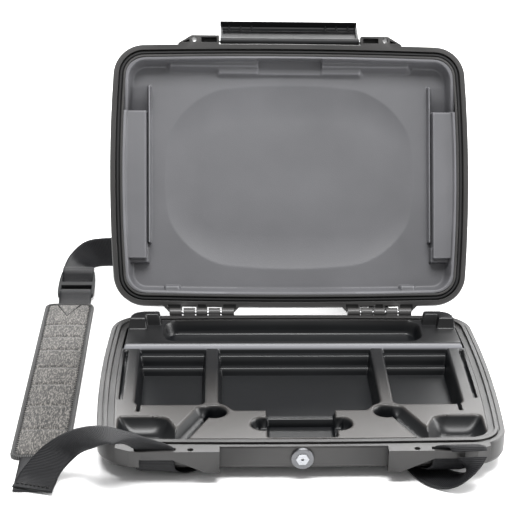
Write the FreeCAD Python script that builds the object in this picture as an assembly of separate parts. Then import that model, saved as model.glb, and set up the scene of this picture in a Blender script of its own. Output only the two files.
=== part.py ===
# Hard shell carrying case for a small computer, standing open on its base.
# Millimetres. X runs to the right, Y to the back and Z up, from the middle of the underside.
# The lid and its latch are drawn closed and then turned about their own hinges.
import FreeCAD
import Part

import math
import os

from FreeCAD import Vector

# Overall size of the shell
case_width = 312.0
case_depth = 229.0
base_height = 27.0
lid_height = 27.0
corner_radius = 27.0
side_bow_radius = 1236.4
end_bow_radius = 4895.0
parting_gap = 0.3
lid_opening_deg = 116.8

# Moulded walls
wall = 3.0
panel = 2.4
edge_height = 10.5
bevel_inset = 22.0
edge_round = 1.2
overrun = 1.0

# Feet moulded under the base
foot_height = 2.6
foot_width = 24.0
foot_depth = 34.0
foot_corner = 5.0
foot_side_margin = 4.0
foot_end_margin = 8.5
middle_foot_radius = 5.0

# Rim and seal
flange = 2.8
base_rim = 13.0
lid_rim = 10.5
lip_width = 4.0
groove_width = 1.2
groove_depth = 1.0
tongue_width = 2.8
tongue_height = 1.2
shelf_drop = 0.8
seal_inset = 4.6
seal_width = 4.2
seal_depth = 3.4
gasket_clearance = 0.4
gasket_height = 1.9
fit_gap = 0.3

# Hinge
hinge_offset = 4.5
knuckle_radius = 3.9
hinge_pin_radius = 1.5
bore_clearance = 0.05
hinge_centre_x = 76.9
knuckle_gap = 1.2
hinge_length = 55.4
base_knuckle_length = 9.9
lid_knuckle_length = 10.7
lug_flare = 5.8
lug_wall = 1.3
lug_pocket_depth = 2.2

# Blocks on the front that flank the latch
wing_reach = 7.0
wing_length = 56.2
wing_side_margin = 38.0
wing_block_length = 10.2
wing_slope_length = 24.0
wing_blend_length = 20.0
wing_block_height = 17.5
wing_bar_height = 6.7
wing_corner_height = 13.0
bar_thickness = 2.4
lid_wing_block_length = 23.6
lid_wing_slope_length = 11.6
lid_wing_wall = 1.8
lid_wing_pocket_length = 13.4
lid_wing_pocket_depth = 6.0
lock_hole_radius = 2.2
lock_hole_setback = 21.2
slot_overhang = 6.2
slot_end_play = 0.9
slot_play = 2.0

# Latch on the lid
latch_end_gap = 1.2
latch_pivot_height = 9.0
latch_barrel_gap = 0.5
latch_barrel_radius = 3.2
latch_pin_radius = 1.5
latch_sheet = 2.2
latch_side = 1.8
latch_hook_height = 1.6
latch_hook_drop = 2.6
latch_hook_bite = 1.3
latch_rib_width = 1.2
latch_rib_depth = 2.0
latch_rib_shares = (0.54, 0.70, 0.87)
latch_open_deg = 142.0
latch_pin_length = 9.0
latch_pin_engagement = 3.6

# Valve in the front wall
valve_x = -1.0
valve_flange_radius = 8.5
valve_flange_thickness = 2.5
valve_flange_round = 0.8
valve_shank_radius = 5.0
valve_shank_length = 8.0
valve_bore_radius = 3.2
valve_hex_across = 8.6
valve_hex_height = 1.6
valve_seat_depth = 1.0
valve_nut_wall = 0.75
valve_nut_gap = 0.7
valve_nut_thickness = 2.6
valve_ring_radius = 0.7
membrane_thickness = 0.6

# Tray in the base
sheet = 2.2
tray_drop = 0.5
tray_clearance = 0.8
step_low_rise = 6.0
step_high_drop = 4.5
step_depth = 6.5
plateau_depth = 8.0
ridge_height = 3.0
ridge_round = 2.5
pocket_middle_half = 58.5
pocket_rib = 12.2
pocket_side_rim = 16.1
pocket_side_length = 84.5
pocket_middle_length = 94.0
pocket_corner = 6.0
pocket_flare = 1.5
pocket_draft = 1.0
pocket_fillet = 2.6
trough_rim = 3.7
trough_length = 39.0
trough_drop = 11.5
trough_corner = 12.0
trough_end_gap = 4.3
tower_width = 30.9
tower_length = 19.2
tower_height = 12.4
tower_notch_width = 12.0
tower_notch_depth = 8.0
tower_top_sheet = 2.0
tower_draft = 3.0
round_hole_shift = 7.3
round_hole_setback = 11.5
round_hole_radius = 9.2
round_hole_rise = 5.0
channel_width = 12.5
channel_drop = 7.5
channel_end_rise = 5.5
well_rim = 5.3
well_width = 47.4
well_front_rim = 3.8
well_length = 31.4
well_rise = 3.0
well_corner = 13.0
front_pocket_half = 26.0
front_pocket_rim = 3.2
front_pocket_rise = 6.0
front_step_depth = 5.0
front_step_drop = 6.5
finger_shift = 2.0
finger_setback = 20.0
finger_radius = 11.0
finger_drop = 9.5
slit_inset = 3.0
slit_width = 2.0
slit_length = 11.0
slit_drop = 6.5
edge_slot_rim = 3.3
edge_slot_width = 2.8
edge_slot_length = 84.5
edge_slot_gap = 4.0
edge_slot_drop = 3.5
round_turn_shares = (0, 1 / 3, 2 / 3, 1)

# Liner in the lid
liner_sheet = 2.0
liner_gap = 1.4
liner_lip = 2.4
liner_draft = 2.2
liner_fillet = 4.0
bar_width = 23.7
bar_front_margin = 36.5
bar_front_slant = 23.5
bar_back_margin = 43.5
bar_back_slant = 4.2
bar_bulge = 3.0
bar_step_length = 17.2
bar_step_width = 3.0
bar_step_depth = 4.0
lid_clearance = 0.8
dish_side_margin = 12.5
dish_end_margin = 34.0
dish_corner = 40.0
dish_side_radius = 207.0
dish_end_radius = 478.6
dish_sink = 3.6
dish_wall_shares = ((0.0, 0.0), (0.45, 0.06), (0.75, 0.16), (0.93, 0.32), (1.0, 0.55))
ledge_half = 104.0
ledge_reach = 6.0
ledge_middle_half = 62.0
ledge_middle_reach = 12.0
ledge_sink = 7.0
ledge_notch_half = 28.0
rear_ledge_half = 96.0
rear_ledge_reach = 4.2
stop_half = 6.0
stop_x = 102.5
stop_reach = 7.0

# Shoulder strap
webbing_width = 28.6
webbing_thickness = 1.6
ribbon_steps = 2
pad_width = 44.0
pad_length = 277.0
pad_shift = 3.75
pad_corner = 4.0
pad_binding_width = 3.2
pad_binding_height = 3.6
pad_back_thickness = 1.0
pad_height = 4.8
pad_crown = 1.2
quilt_depth = 0.7
quilt_width = 3.0
quilt_shares = [0.15, 0.29, 0.42, 0.53, 0.65, 0.74, 0.83]
tab_length = 45.0
floor_gap = 0.3
lead_length = 23.0
lead_showing = 11.5
buckle_play = 0.8
buckle_thickness = 4.0
buckle_rail = 2.0
buckle_end_bar = 5.0
buckle_middle_bar = 6.0
buckle_near_window = 11.0
buckle_far_window = 14.0
buckle_hold = 11.5
buckle_gap = 0.37
buckle_tilt_deg = 9.7

# Webbing routes. Each station gives the two edges. Across and along are in shares of the
# route's width and depth, which the slots in the front blocks set, and up is in shares of
# the base's height. The pull shares say how far each station follows the tab's end.
slot_across_share = 0.6987
slot_along_share = 1.0245
tab_end_share = -1.1467
left_pull_shares = (1.0, 1.0, 0.9, 0.6, 0.3)
left_webbing_shares = [
    ((-1.3571, -1.1197, 0.1074), (-1.1679, -1.1948, 0.1074)),
    ((-1.3429, -1.0568, 0.1704), (-1.1571, -1.1092, 0.1556)),
    ((-1.3109, -0.9869, 0.3704), (-1.1314, -1.0218, 0.3333)),
    ((-1.2212, -0.8908, 0.8148), (-1.0577, -0.9869, 0.7407)),
    ((-1.0897, -0.8996, 1.3148), (-0.9840, -1.1004, 1.2222)),
    ((-0.9519, -0.9738, 1.6148), (-0.9103, -1.1965, 1.5926)),
    ((-0.8141, -1.0393, 1.5741), (-0.8814, -1.2052, 1.5926)),
    ((-0.6987, -1.0358, 1.3148), (-0.8397, -1.1004, 1.3630)),
    ((-0.6218, -1.0310, 1.1111), (-0.8045, -1.0410, 1.1111)),
    ((-0.6071, -1.0290, 0.9630), (-0.7904, -1.0290, 0.9630)),
    ((-0.6071, -1.0280, 0.5185), (-0.7904, -1.0280, 0.5185)),
    ((-0.5929, -1.0044, 0.2741), (-0.7724, -0.9825, 0.2815)),
    ((-0.5449, -0.9520, 0.0963), (-0.6955, -0.8210, 0.0704)),
    ((-0.4231, -0.8297, 0.0481), (-0.5385, -0.6332, 0.0481)),
    ((-0.3205, -0.7205, 0.0481), (-0.4359, -0.5240, 0.0481)),
]
main_webbing_shares = [
    ((-1.3301, 1.8690, 0.1333), (-1.1474, 1.8690, 0.1333)),
    ((-1.3301, 1.9300, 0.1667), (-1.1474, 1.9300, 0.1667)),
    ((-1.3301, 1.9780, 0.2222), (-1.1474, 1.9780, 0.2222)),
    ((-1.3301, 2.0200, 0.3407), (-1.1474, 2.0200, 0.3407)),
    ((-1.3301, 2.0650, 0.5148), (-1.1474, 2.0650, 0.5148)),
    ((-1.3301, 2.1050, 0.5519), (-1.1474, 2.1050, 0.5519)),
    ((-1.3301, 2.1450, 0.5519), (-1.1474, 2.1450, 0.5519)),
    ((-1.3315, 2.1900, 0.4700), (-1.1500, 2.1870, 0.4300)),
    ((-1.3333, 2.2358, 0.4300), (-1.1538, 2.2183, 0.3100)),
    ((-1.3013, 2.3755, 0.6481), (-1.1667, 2.3493, 0.1481)),
    ((-1.2179, 2.4541, 0.9815), (-1.1346, 2.4410, 0.0593)),
    ((-1.1026, 2.4716, 1.0963), (-1.0769, 2.4716, 0.0296)),
    ((-0.8974, 2.4716, 1.1037), (-0.8974, 2.4716, 0.0296)),
    ((-0.6410, 2.4716, 1.1037), (-0.6410, 2.4716, 0.0296)),
    ((-0.3500, 2.4541, 1.1037), (-0.3500, 2.4541, 0.0296)),
    ((-0.0600, 2.3900, 1.1037), (-0.0600, 2.3900, 0.0296)),
    ((0.1900, 2.2500, 1.1037), (0.1900, 2.2500, 0.0296)),
    ((0.3700, 2.0300, 1.1037), (0.3700, 2.0300, 0.0296)),
    ((0.4700, 1.7800, 1.0963), (0.4700, 1.7800, 0.0296)),
    ((0.5200, 1.5300, 0.9500), (0.4750, 1.5300, 0.0519)),
    ((0.5700, 1.2900, 0.6500), (0.4500, 1.2900, 0.0519)),
    ((0.6050, 1.0500, 0.2400), (0.4350, 1.0500, 0.0481)),
    ((0.6200, 0.8300, 0.0519), (0.4370, 0.8300, 0.0481)),
    ((0.6250, 0.4500, 0.0481), (0.4420, 0.4500, 0.0481)),
    ((0.6150, 0.0800, 0.0481), (0.4320, 0.0700, 0.0481)),
    ((0.6050, -0.2700, 0.0481), (0.4230, -0.3100, 0.0481)),
    ((0.6100, -0.5600, 0.0481), (0.4350, -0.6500, 0.0481)),
    ((0.6400, -0.7550, 0.0481), (0.4960, -0.8950, 0.0481)),
    ((0.6795, -0.8865, 0.0481), (0.5641, -1.0830, 0.0481)),
    ((0.7468, -0.9607, 0.0593), (0.6442, -1.1703, 0.0778)),
    ((0.7756, -1.0044, 0.1852), (0.7083, -1.2096, 0.2407)),
    ((0.7692, -1.0437, 0.3889), (0.7724, -1.2052, 0.5185)),
    ((0.7468, -1.0812, 0.6296), (0.8237, -1.1703, 0.7778)),
    ((0.7147, -1.0890, 0.8519), (0.8526, -1.1310, 0.9815)),
]
right_tail_shares = [
    ((0.6920, -1.0830, 1.0100), (0.8545, -1.1030, 1.0900)),
    ((0.6763, -1.0700, 1.1185), (0.8490, -1.0780, 1.1600)),
    ((0.6378, -1.0480, 1.1185), (0.8205, -1.0480, 1.1400)),
    ((0.6083, -1.0320, 1.0000), (0.7923, -1.0320, 1.0000)),
    ((0.6071, -1.0320, 0.5185), (0.7904, -1.0320, 0.5185)),
    ((0.5769, -0.9956, 0.2815), (0.7564, -1.0087, 0.3185)),
    ((0.5256, -0.8865, 0.1630), (0.6923, -0.9476, 0.1926)),
]

# Places that follow from the sizes above
half_width = case_width / 2
half_depth = case_depth / 2
lid_floor = base_height + parting_gap
lid_top = lid_floor + lid_height
inner_floor = foot_height + panel
foot_x = half_width - bevel_inset - foot_side_margin - foot_width / 2
foot_y = half_depth - bevel_inset - foot_end_margin - foot_depth / 2

hinge_y = half_depth + hinge_offset
hinge_z = base_height + parting_gap / 2
hinge_bore_radius = hinge_pin_radius + bore_clearance

wing_front = -half_depth - wing_reach
wing_end_x = half_width - wing_side_margin
wing_inner_x = wing_end_x - wing_length
wing_block_x = wing_inner_x + wing_block_length
wing_slope_x = wing_block_x + wing_slope_length
wing_blend_x = wing_end_x + wing_blend_length
wing_bottom = base_height - wing_block_height
wing_corner_bottom = base_height - wing_corner_height
lid_wing_block_x = wing_inner_x + lid_wing_block_length
lid_wing_end_x = lid_wing_block_x + lid_wing_slope_length
lock_hole_x = wing_inner_x + lock_hole_setback
slot_length = webbing_width + 2 * slot_end_play
slot_width = webbing_thickness + slot_play
slot_centre_x = wing_end_x + slot_overhang - slot_length / 2
slot_front = wing_front + bar_thickness

latch_width = 2 * (wing_inner_x - latch_end_gap)
latch_pivot_y = -half_depth - latch_barrel_gap - latch_barrel_radius
latch_pivot_z = lid_floor + latch_pivot_height

valve_nut_across = 2 * (valve_shank_radius + bore_clearance + valve_nut_wall)
valve_height = base_height - flange - valve_nut_gap - valve_nut_across / 2
valve_ring_path = valve_shank_radius + 2 * valve_ring_radius

tray_top = base_height - tray_drop
tray_inset = base_rim + fit_gap
tray_side = half_width - tray_inset
tray_end = half_depth - tray_inset
tray_floor = inner_floor + tray_clearance + sheet
ridge_top = tray_top + ridge_height
tower_inner = tray_side - tower_width
tower_front = tray_end - tower_length
trough_half = tower_inner - trough_end_gap
trough_back = tray_end - trough_rim
trough_front = trough_back - trough_length
ridge_y = trough_front - plateau_depth
pocket_back = ridge_y - 2 * step_depth
pocket_side_inner = pocket_middle_half + pocket_rib
pocket_side_outer = tray_side - pocket_side_rim
pocket_side_front = pocket_back - pocket_side_length
pocket_middle_front = pocket_back - pocket_middle_length
round_hole_x = pocket_middle_half + round_hole_shift
round_hole_y = pocket_side_front - round_hole_setback
well_outer = tray_side - well_rim
well_inner = well_outer - well_width
well_front = well_front_rim - tray_end
well_back = well_front + well_length
channel_end_y = well_front + channel_end_rise
front_pocket_front = front_pocket_rim - tray_end
finger_x = front_pocket_half + finger_shift
finger_y = front_pocket_front + finger_setback
slit_x = pocket_side_outer - slit_inset
edge_slot_outer = tray_side - edge_slot_rim
edge_slot_inner = edge_slot_outer - edge_slot_width
edge_slot_back = ridge_y - edge_slot_gap
edge_slot_front = edge_slot_back - edge_slot_length

liner_inset = lid_rim + fit_gap
liner_mouth = lid_floor + tray_drop
liner_back = lid_top - inner_floor - liner_gap - dish_sink
liner_ceiling = liner_back - liner_sheet
bar_mouth = ridge_top + lid_clearance
bar_inner = half_width - liner_inset - bar_width
bar_front_outer = bar_front_margin - half_depth
bar_front_inner = bar_front_outer + bar_front_slant
bar_back_outer = half_depth - bar_back_margin
bar_back_inner = bar_back_outer + bar_back_slant
dish_width = 2 * (bar_inner - dish_side_margin)
dish_depth = case_depth - 2 * dish_end_margin

route_width = slot_centre_x / slot_across_share
route_depth = -(slot_front + slot_width / 2) / slot_along_share
strap_left, strap_right = main_webbing_shares[0]
buckle_centre_x = route_width * (strap_left[0] + strap_right[0]) / 2
buckle_near_y = route_depth * strap_left[1] - buckle_hold
buckle_width = webbing_width + 2 * buckle_rail + buckle_play
buckle_length = 2 * buckle_end_bar + buckle_near_window + buckle_middle_bar + buckle_far_window
lead_lift = floor_gap + webbing_thickness / 3
buckle_lift = lead_lift + webbing_thickness + buckle_gap
pad_back = buckle_near_y - lead_showing
pad_front = pad_back - pad_length
pad_centre_x = buckle_centre_x - pad_shift
pad_centre_y = (pad_front + pad_back) / 2
tab_end = pad_front - floor_gap - tab_length


class Plan:
    """A rounded rectangle seen from above, whose sides may bow outward."""

    def __init__(self, width, depth, corner, side_radius=0.0, end_radius=0.0, centre=(0.0, 0.0)):
        self.half_x = width / 2
        self.half_y = depth / 2
        self.corner = corner
        self.bowed = side_radius > 0
        self.centre = centre
        if self.bowed:
            side_centre = Vector(self.half_x - side_radius, 0, 0)
            end_centre = Vector(0, self.half_y - end_radius, 0)
            self.pivot = circles_meet(
                side_centre, side_radius - corner, end_centre, end_radius - corner
            )
            self.to_side = (self.pivot - side_centre).normalize()
            self.to_end = (self.pivot - end_centre).normalize()
        else:
            self.pivot = Vector(self.half_x - corner, self.half_y - corner, 0)
            self.to_side = Vector(1, 0, 0)
            self.to_end = Vector(0, 1, 0)
        self.to_corner = (self.to_side + self.to_end).normalize()

    def wire(self, height, inset=0.0):
        """The closed outline at one height, drawn in by the inset."""
        reach = self.corner - inset
        mid_x = self.half_x - inset
        mid_y = self.half_y - inset

        def at(sign_x, sign_y, direction):
            spot = self.pivot + direction * reach
            return self.spot(sign_x * spot.x, sign_y * spot.y, height)

        edges = []
        turns = [(1, 1), (-1, 1), (-1, -1), (1, -1)]
        for number, (sign_x, sign_y) in enumerate(turns):
            odd = number % 2
            first = self.to_end if odd else self.to_side
            last = self.to_side if odd else self.to_end
            before = turns[number - 1]
            start = at(before[0], before[1], first)
            into = at(sign_x, sign_y, first)
            if self.bowed:
                side_mid = (0, sign_y * mid_y) if odd else (sign_x * mid_x, 0)
                middle = self.spot(side_mid[0], side_mid[1], height)
                edges.append(Part.Arc(start, middle, into).toShape())
            else:
                edges.append(Part.makeLine(start, into))
            bend = at(sign_x, sign_y, self.to_corner)
            edges.append(Part.Arc(into, bend, at(sign_x, sign_y, last)).toShape())
        return Part.Wire(edges)

    def spot(self, x, y, height):
        """A point of the outline, moved to the place of its middle."""
        return Vector(self.centre[0] + x, self.centre[1] + y, height)


def circles_meet(first, first_radius, second, second_radius):
    """The meeting point of two circles that lies furthest to the right and back."""
    gap = second - first
    along = (first_radius ** 2 - second_radius ** 2 + gap.Length ** 2) / (2 * gap.Length)
    across = math.sqrt(first_radius ** 2 - along ** 2)
    unit = Vector(gap).normalize()
    side = Vector(-unit.y, unit.x, 0)
    spots = [first + unit * along + side * across, first + unit * along - side * across]
    return max(spots, key=lambda spot: spot.x + spot.y)


def stack(plan, levels):
    """A solid through the plan at each height and inset."""
    return Part.makeLoft([plan.wire(height, inset) for height, inset in levels], True, True)


def slab(plan, bottom, top, inset=0.0):
    """An upright block on a plan."""
    return Part.Face(plan.wire(bottom, inset)).extrude(Vector(0, 0, top - bottom))


def rectangle(left, right, front, back, corner):
    """A plan from its four sides."""
    centre = ((left + right) / 2, (front + back) / 2)
    return Plan(right - left, back - front, corner, centre=centre)


def outline_face(points):
    """A flat face from its corners."""
    return Part.Face(Part.makePolygon(points + [points[0]]))


def block_z(points, bottom, top):
    """An upright block on corners given as x and y."""
    corners = [Vector(x, y, bottom) for x, y in points]
    return outline_face(corners).extrude(Vector(0, 0, top - bottom))


def block_x(points, left, right):
    """A bar along X on corners given as y and z."""
    corners = [Vector(left, y, z) for y, z in points]
    return outline_face(corners).extrude(Vector(right - left, 0, 0))


def block_y(points, front, back):
    """A bar along Y on corners given as x and z."""
    corners = [Vector(x, front, z) for x, z in points]
    return outline_face(corners).extrude(Vector(0, back - front, 0))


def box(left, right, front, back, bottom, top):
    """A plain box from its six sides."""
    size = (right - left, back - front, top - bottom)
    return Part.makeBox(size[0], size[1], size[2], Vector(left, front, bottom))


def rod_x(radius, left, right, y, z):
    """A round bar along X."""
    return Part.makeCylinder(radius, right - left, Vector(left, y, z), Vector(1, 0, 0))


def rod_y(radius, front, back, x, z):
    """A round bar along Y."""
    return Part.makeCylinder(radius, back - front, Vector(x, front, z), Vector(0, 1, 0))


def other_side(shape):
    """The mirror image on the other side of the middle."""
    return shape.mirror(Vector(0, 0, 0), Vector(1, 0, 0))


def both_sides(shape):
    """A shape and its mirror image."""
    return [shape, other_side(shape)]


def joined(shapes):
    """One solid from overlapping shapes."""
    whole = shapes[0].fuse(shapes[1:]) if len(shapes) > 1 else shapes[0]
    return whole.removeSplitter()


def merged(shapes):
    """One shape from many, joined one after the other."""
    whole = shapes[0]
    for shape in shapes[1:]:
        whole = whole.fuse(shape)
    return whole


def recess(plan, mouth, floor, flare, draft, fillet):
    """The space of a moulded pocket, with a rounded mouth, drafted walls and a rounded floor."""
    way = 1 if mouth > floor else -1
    steps = [share * math.pi / 2 for share in round_turn_shares]
    levels = [
        (floor + way * fillet * (1 - math.cos(turn)), draft + fillet * (1 - math.sin(turn)))
        for turn in steps
    ]
    levels += [
        (mouth - way * flare * (1 - math.sin(turn)), -flare * (1 - math.cos(turn)))
        for turn in steps
    ]
    levels.append((mouth + way * overrun, -flare))
    return stack(plan, levels)


def cup(plan, plate, floor, draft, fillet, thickness):
    """The outside of a moulded pocket, up to the plate that it hangs from."""
    way = 1 if plate > floor else -1
    levels = [
        (floor - way * thickness, draft + fillet - thickness),
        (floor + way * (fillet - thickness), draft - thickness),
        (plate, -thickness),
    ]
    return stack(plan, levels)


shell_plan = Plan(case_width, case_depth, corner_radius, side_bow_radius, end_bow_radius)


def turned_open(shape):
    """A lid piece in the open pose."""
    opened = shape.copy()
    opened.rotate(Vector(0, hinge_y, hinge_z), Vector(1, 0, 0), -lid_opening_deg)
    return opened


def latch_swung(shape):
    """A latch piece swung away from the front, before the lid opens."""
    swung = shape.copy()
    pivot = Vector(0, latch_pivot_y, latch_pivot_z)
    swung.rotate(pivot, Vector(1, 0, 0), -latch_open_deg)
    return swung


def hinge_spans(sign):
    """The X spans of the lid's and the base's knuckles at one hinge."""
    centre = sign * hinge_centre_x
    half = hinge_length / 2
    middle_half = half - lid_knuckle_length - base_knuckle_length - 2 * knuckle_gap
    lid_spans = [
        (centre - half, centre - half + lid_knuckle_length),
        (centre - middle_half, centre + middle_half),
        (centre + half - lid_knuckle_length, centre + half),
    ]
    inner = middle_half + knuckle_gap
    outer = inner + base_knuckle_length
    base_spans = [(centre - outer, centre - inner), (centre + inner, centre + outer)]
    return lid_spans, base_spans


def knuckle(span, arm_bottom, arm_top, flares=(0.0, 0.0)):
    """One hinge knuckle with its arm, which may widen towards the shell, before its bore."""
    barrel = rod_x(knuckle_radius, span[0], span[1], hinge_y, hinge_z)
    arm_front = half_depth - wall
    arm = block_z([
        (span[0], hinge_y), (span[0] - flares[0], half_depth - wall / 2),
        (span[0] - flares[0], arm_front), (span[1] + flares[1], arm_front),
        (span[1] + flares[1], half_depth - wall / 2), (span[1], hinge_y),
    ], arm_bottom, arm_top)
    return barrel.fuse(arm)


def lug_pocket(span, flares):
    """The small recess in the underside of one of the lid's knuckles."""
    return box(
        span[0] - flares[0] / 2 + lug_wall, span[1] + flares[1] / 2 - lug_wall,
        half_depth - wall + lug_wall / 2, hinge_y - hinge_bore_radius - lug_wall,
        lid_floor - overrun, lid_floor + lug_pocket_depth,
    )


def hinge_bore(sign):
    """The hole for one hinge pin."""
    centre = sign * hinge_centre_x
    reach = hinge_length / 2 + overrun
    return rod_x(hinge_bore_radius, centre - reach, centre + reach, hinge_y, hinge_z)


def base_wing():
    """The right block on the base's front: padlock block, strap bar and blend into the corner."""
    bar_bottom = base_height - wing_bar_height
    face = [
        (wing_inner_x, base_height),
        (wing_blend_x, base_height),
        (wing_blend_x, wing_corner_bottom),
        (wing_end_x + bar_thickness, wing_corner_bottom),
        (wing_end_x + bar_thickness, bar_bottom),
        (wing_slope_x, bar_bottom),
        (wing_block_x, wing_bottom),
        (wing_inner_x, wing_bottom),
    ]
    inside = wall - half_depth
    reach = block_y(face, wing_front, inside + corner_radius / 2)
    seen_above = [
        (wing_inner_x, inside),
        (wing_inner_x, wing_front),
        (wing_end_x, wing_front),
        ((wing_end_x + wing_blend_x) / 2, wing_front + wing_reach / 4),
        (wing_blend_x, wing_front + wing_reach),
        (wing_blend_x, inside + corner_radius / 4),
        (wing_end_x, inside),
    ]
    wing = reach.common(block_z(seen_above, wing_bottom - overrun, base_height))
    slot = box(
        slot_centre_x - slot_length / 2, slot_centre_x + slot_length / 2,
        slot_front, slot_front + slot_width,
        wing_bottom - overrun, base_height + overrun,
    )
    hole = lock_hole(wing_bottom - overrun, base_height + overrun)
    return wing.cut([slot, hole])


def lock_hole(bottom, top):
    """The round hole for a padlock through the right block."""
    centre_y = -half_depth - wing_reach / 2
    return Part.makeCylinder(lock_hole_radius, top - bottom, Vector(lock_hole_x, centre_y, bottom))


def base_shell():
    """The lower shell: bevelled body, hollow inside, with rim, feet, blocks and knuckles."""
    body = stack(shell_plan, [
        (foot_height, bevel_inset + edge_round),
        (foot_height + edge_round / 2, bevel_inset - edge_round),
        (edge_height - edge_round, edge_round),
        (edge_height + edge_round, 0.0),
        (base_height - edge_round, 0.0),
        (base_height, edge_round / 2),
    ])
    foot_plan = Plan(foot_width, foot_depth, foot_corner, centre=(foot_x, foot_y))
    front_foot_plan = Plan(foot_width, foot_depth, foot_corner, centre=(foot_x, -foot_y))
    feet = [
        stack(plan, [
            (0.0, edge_round),
            (foot_height, 0.0),
            (foot_height + panel / 2, 0.0),
        ])
        for plan in (foot_plan, front_foot_plan)
    ]
    middle_foot = Part.makeCone(
        middle_foot_radius, middle_foot_radius + panel, foot_height + panel / 2
    )
    room = stack(shell_plan, [
        (inner_floor, bevel_inset),
        (edge_height + edge_round, wall),
        (base_height - flange, wall),
    ])
    mouth = slab(shell_plan, base_height - flange - overrun, base_height + overrun, base_rim)
    tongue_start = lip_width + groove_width
    tongue_end = tongue_start + tongue_width
    groove = slab(shell_plan, base_height - groove_depth, base_height + overrun, lip_width).cut(
        slab(shell_plan, 0.0, base_height + 2 * overrun, tongue_start)
    )
    tongue = slab(
        shell_plan, base_height - groove_depth, base_height + tongue_height, tongue_start
    ).cut(slab(shell_plan, 0.0, base_height + 2 * overrun, tongue_end))
    shelf = slab(shell_plan, base_height - shelf_drop, base_height + overrun, tongue_end)
    wing = base_wing()
    arms = []
    for sign in (-1, 1):
        for span in hinge_spans(sign)[1]:
            arm_bottom = hinge_z - knuckle_radius
            arms.append(knuckle(span, arm_bottom, base_height - fit_gap / 2))
    shell = joined([body, middle_foot] + [part for foot in feet for part in both_sides(foot)])
    shell = shell.cut([groove, shelf])
    shell = joined([shell, tongue, wing, other_side(wing)] + arms)
    keep_out = room.fuse(mouth)
    valve_hole = rod_y(
        valve_shank_radius + bore_clearance,
        -half_depth - wing_reach, -half_depth + wall + overrun,
        valve_x, valve_height,
    )
    return shell.cut([keep_out, hinge_bore(-1), hinge_bore(1), valve_hole])


def pocket_steps(left, right):
    """The plans and floors of the two treads behind one pocket."""
    plans = []
    for number, floor in enumerate((tray_floor + step_low_rise, tray_top - step_high_drop)):
        back = pocket_back + (number + 1) * step_depth
        front = pocket_back - 2 * pocket_corner
        plans.append((rectangle(left, right, front, back, pocket_corner), floor))
    return plans


def tray_recesses():
    """Every hollow of the tray on the right half and in the middle: plan, mouth and floor."""
    shapes = []
    side_plan = rectangle(
        pocket_side_inner, pocket_side_outer, pocket_side_front, pocket_back, pocket_corner
    )
    middle_plan = rectangle(
        -pocket_middle_half, pocket_middle_half, pocket_middle_front, pocket_back, pocket_corner
    )
    shapes.append((side_plan, tray_top, tray_floor))
    shapes.append((middle_plan, tray_top, tray_floor))
    spans = ((pocket_side_inner, pocket_side_outer), (-pocket_middle_half, pocket_middle_half))
    for left, right in spans:
        shapes += [(plan, tray_top, floor) for plan, floor in pocket_steps(left, right)]
    trough = rectangle(-trough_half, trough_half, trough_front, trough_back, trough_corner)
    shapes.append((trough, ridge_top, ridge_top - trough_drop))
    hole = Plan(
        2 * round_hole_radius, 2 * round_hole_radius, round_hole_radius - fit_gap,
        centre=(round_hole_x, round_hole_y),
    )
    shapes.append((hole, tray_top, tray_floor + round_hole_rise))
    well = rectangle(well_inner, well_outer, well_front, well_back, well_corner)
    shapes.append((well, tray_top, tray_floor + well_rise))
    front_back = pocket_middle_front - front_step_depth
    front_plan = rectangle(
        -front_pocket_half, front_pocket_half, front_pocket_front, front_back, pocket_corner
    )
    front_step = rectangle(
        -front_pocket_half, front_pocket_half,
        front_back - 2 * pocket_corner, pocket_middle_front, pocket_corner,
    )
    shapes.append((front_plan, tray_top, tray_floor + front_pocket_rise))
    shapes.append((front_step, tray_top, tray_top - front_step_drop))
    return shapes


def channel(side, bottom, top):
    """A slanting bar from the right round hole to the corner well, widened by side walls."""
    start = Vector(round_hole_x, round_hole_y, 0)
    run = Vector(well_inner, channel_end_y, 0) - start
    half = channel_width / 2 + side
    bar = box(0.0, run.Length + side, -half, half, bottom, top)
    bar.rotate(Vector(0, 0, 0), Vector(0, 0, 1), math.degrees(math.atan2(run.y, run.x)))
    bar.translate(start)
    return bar


def walled(sides, floor):
    """A straight slot in the tray and the cup round it, from left, right, front and back."""
    left, right, front, back = sides
    space = box(left, right, front, back, floor, tray_top + overrun)
    cup_top = tray_top - sheet / 2
    outside = box(left - sheet, right + sheet, front - sheet, back + sheet, floor - sheet, cup_top)
    return space, outside


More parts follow.
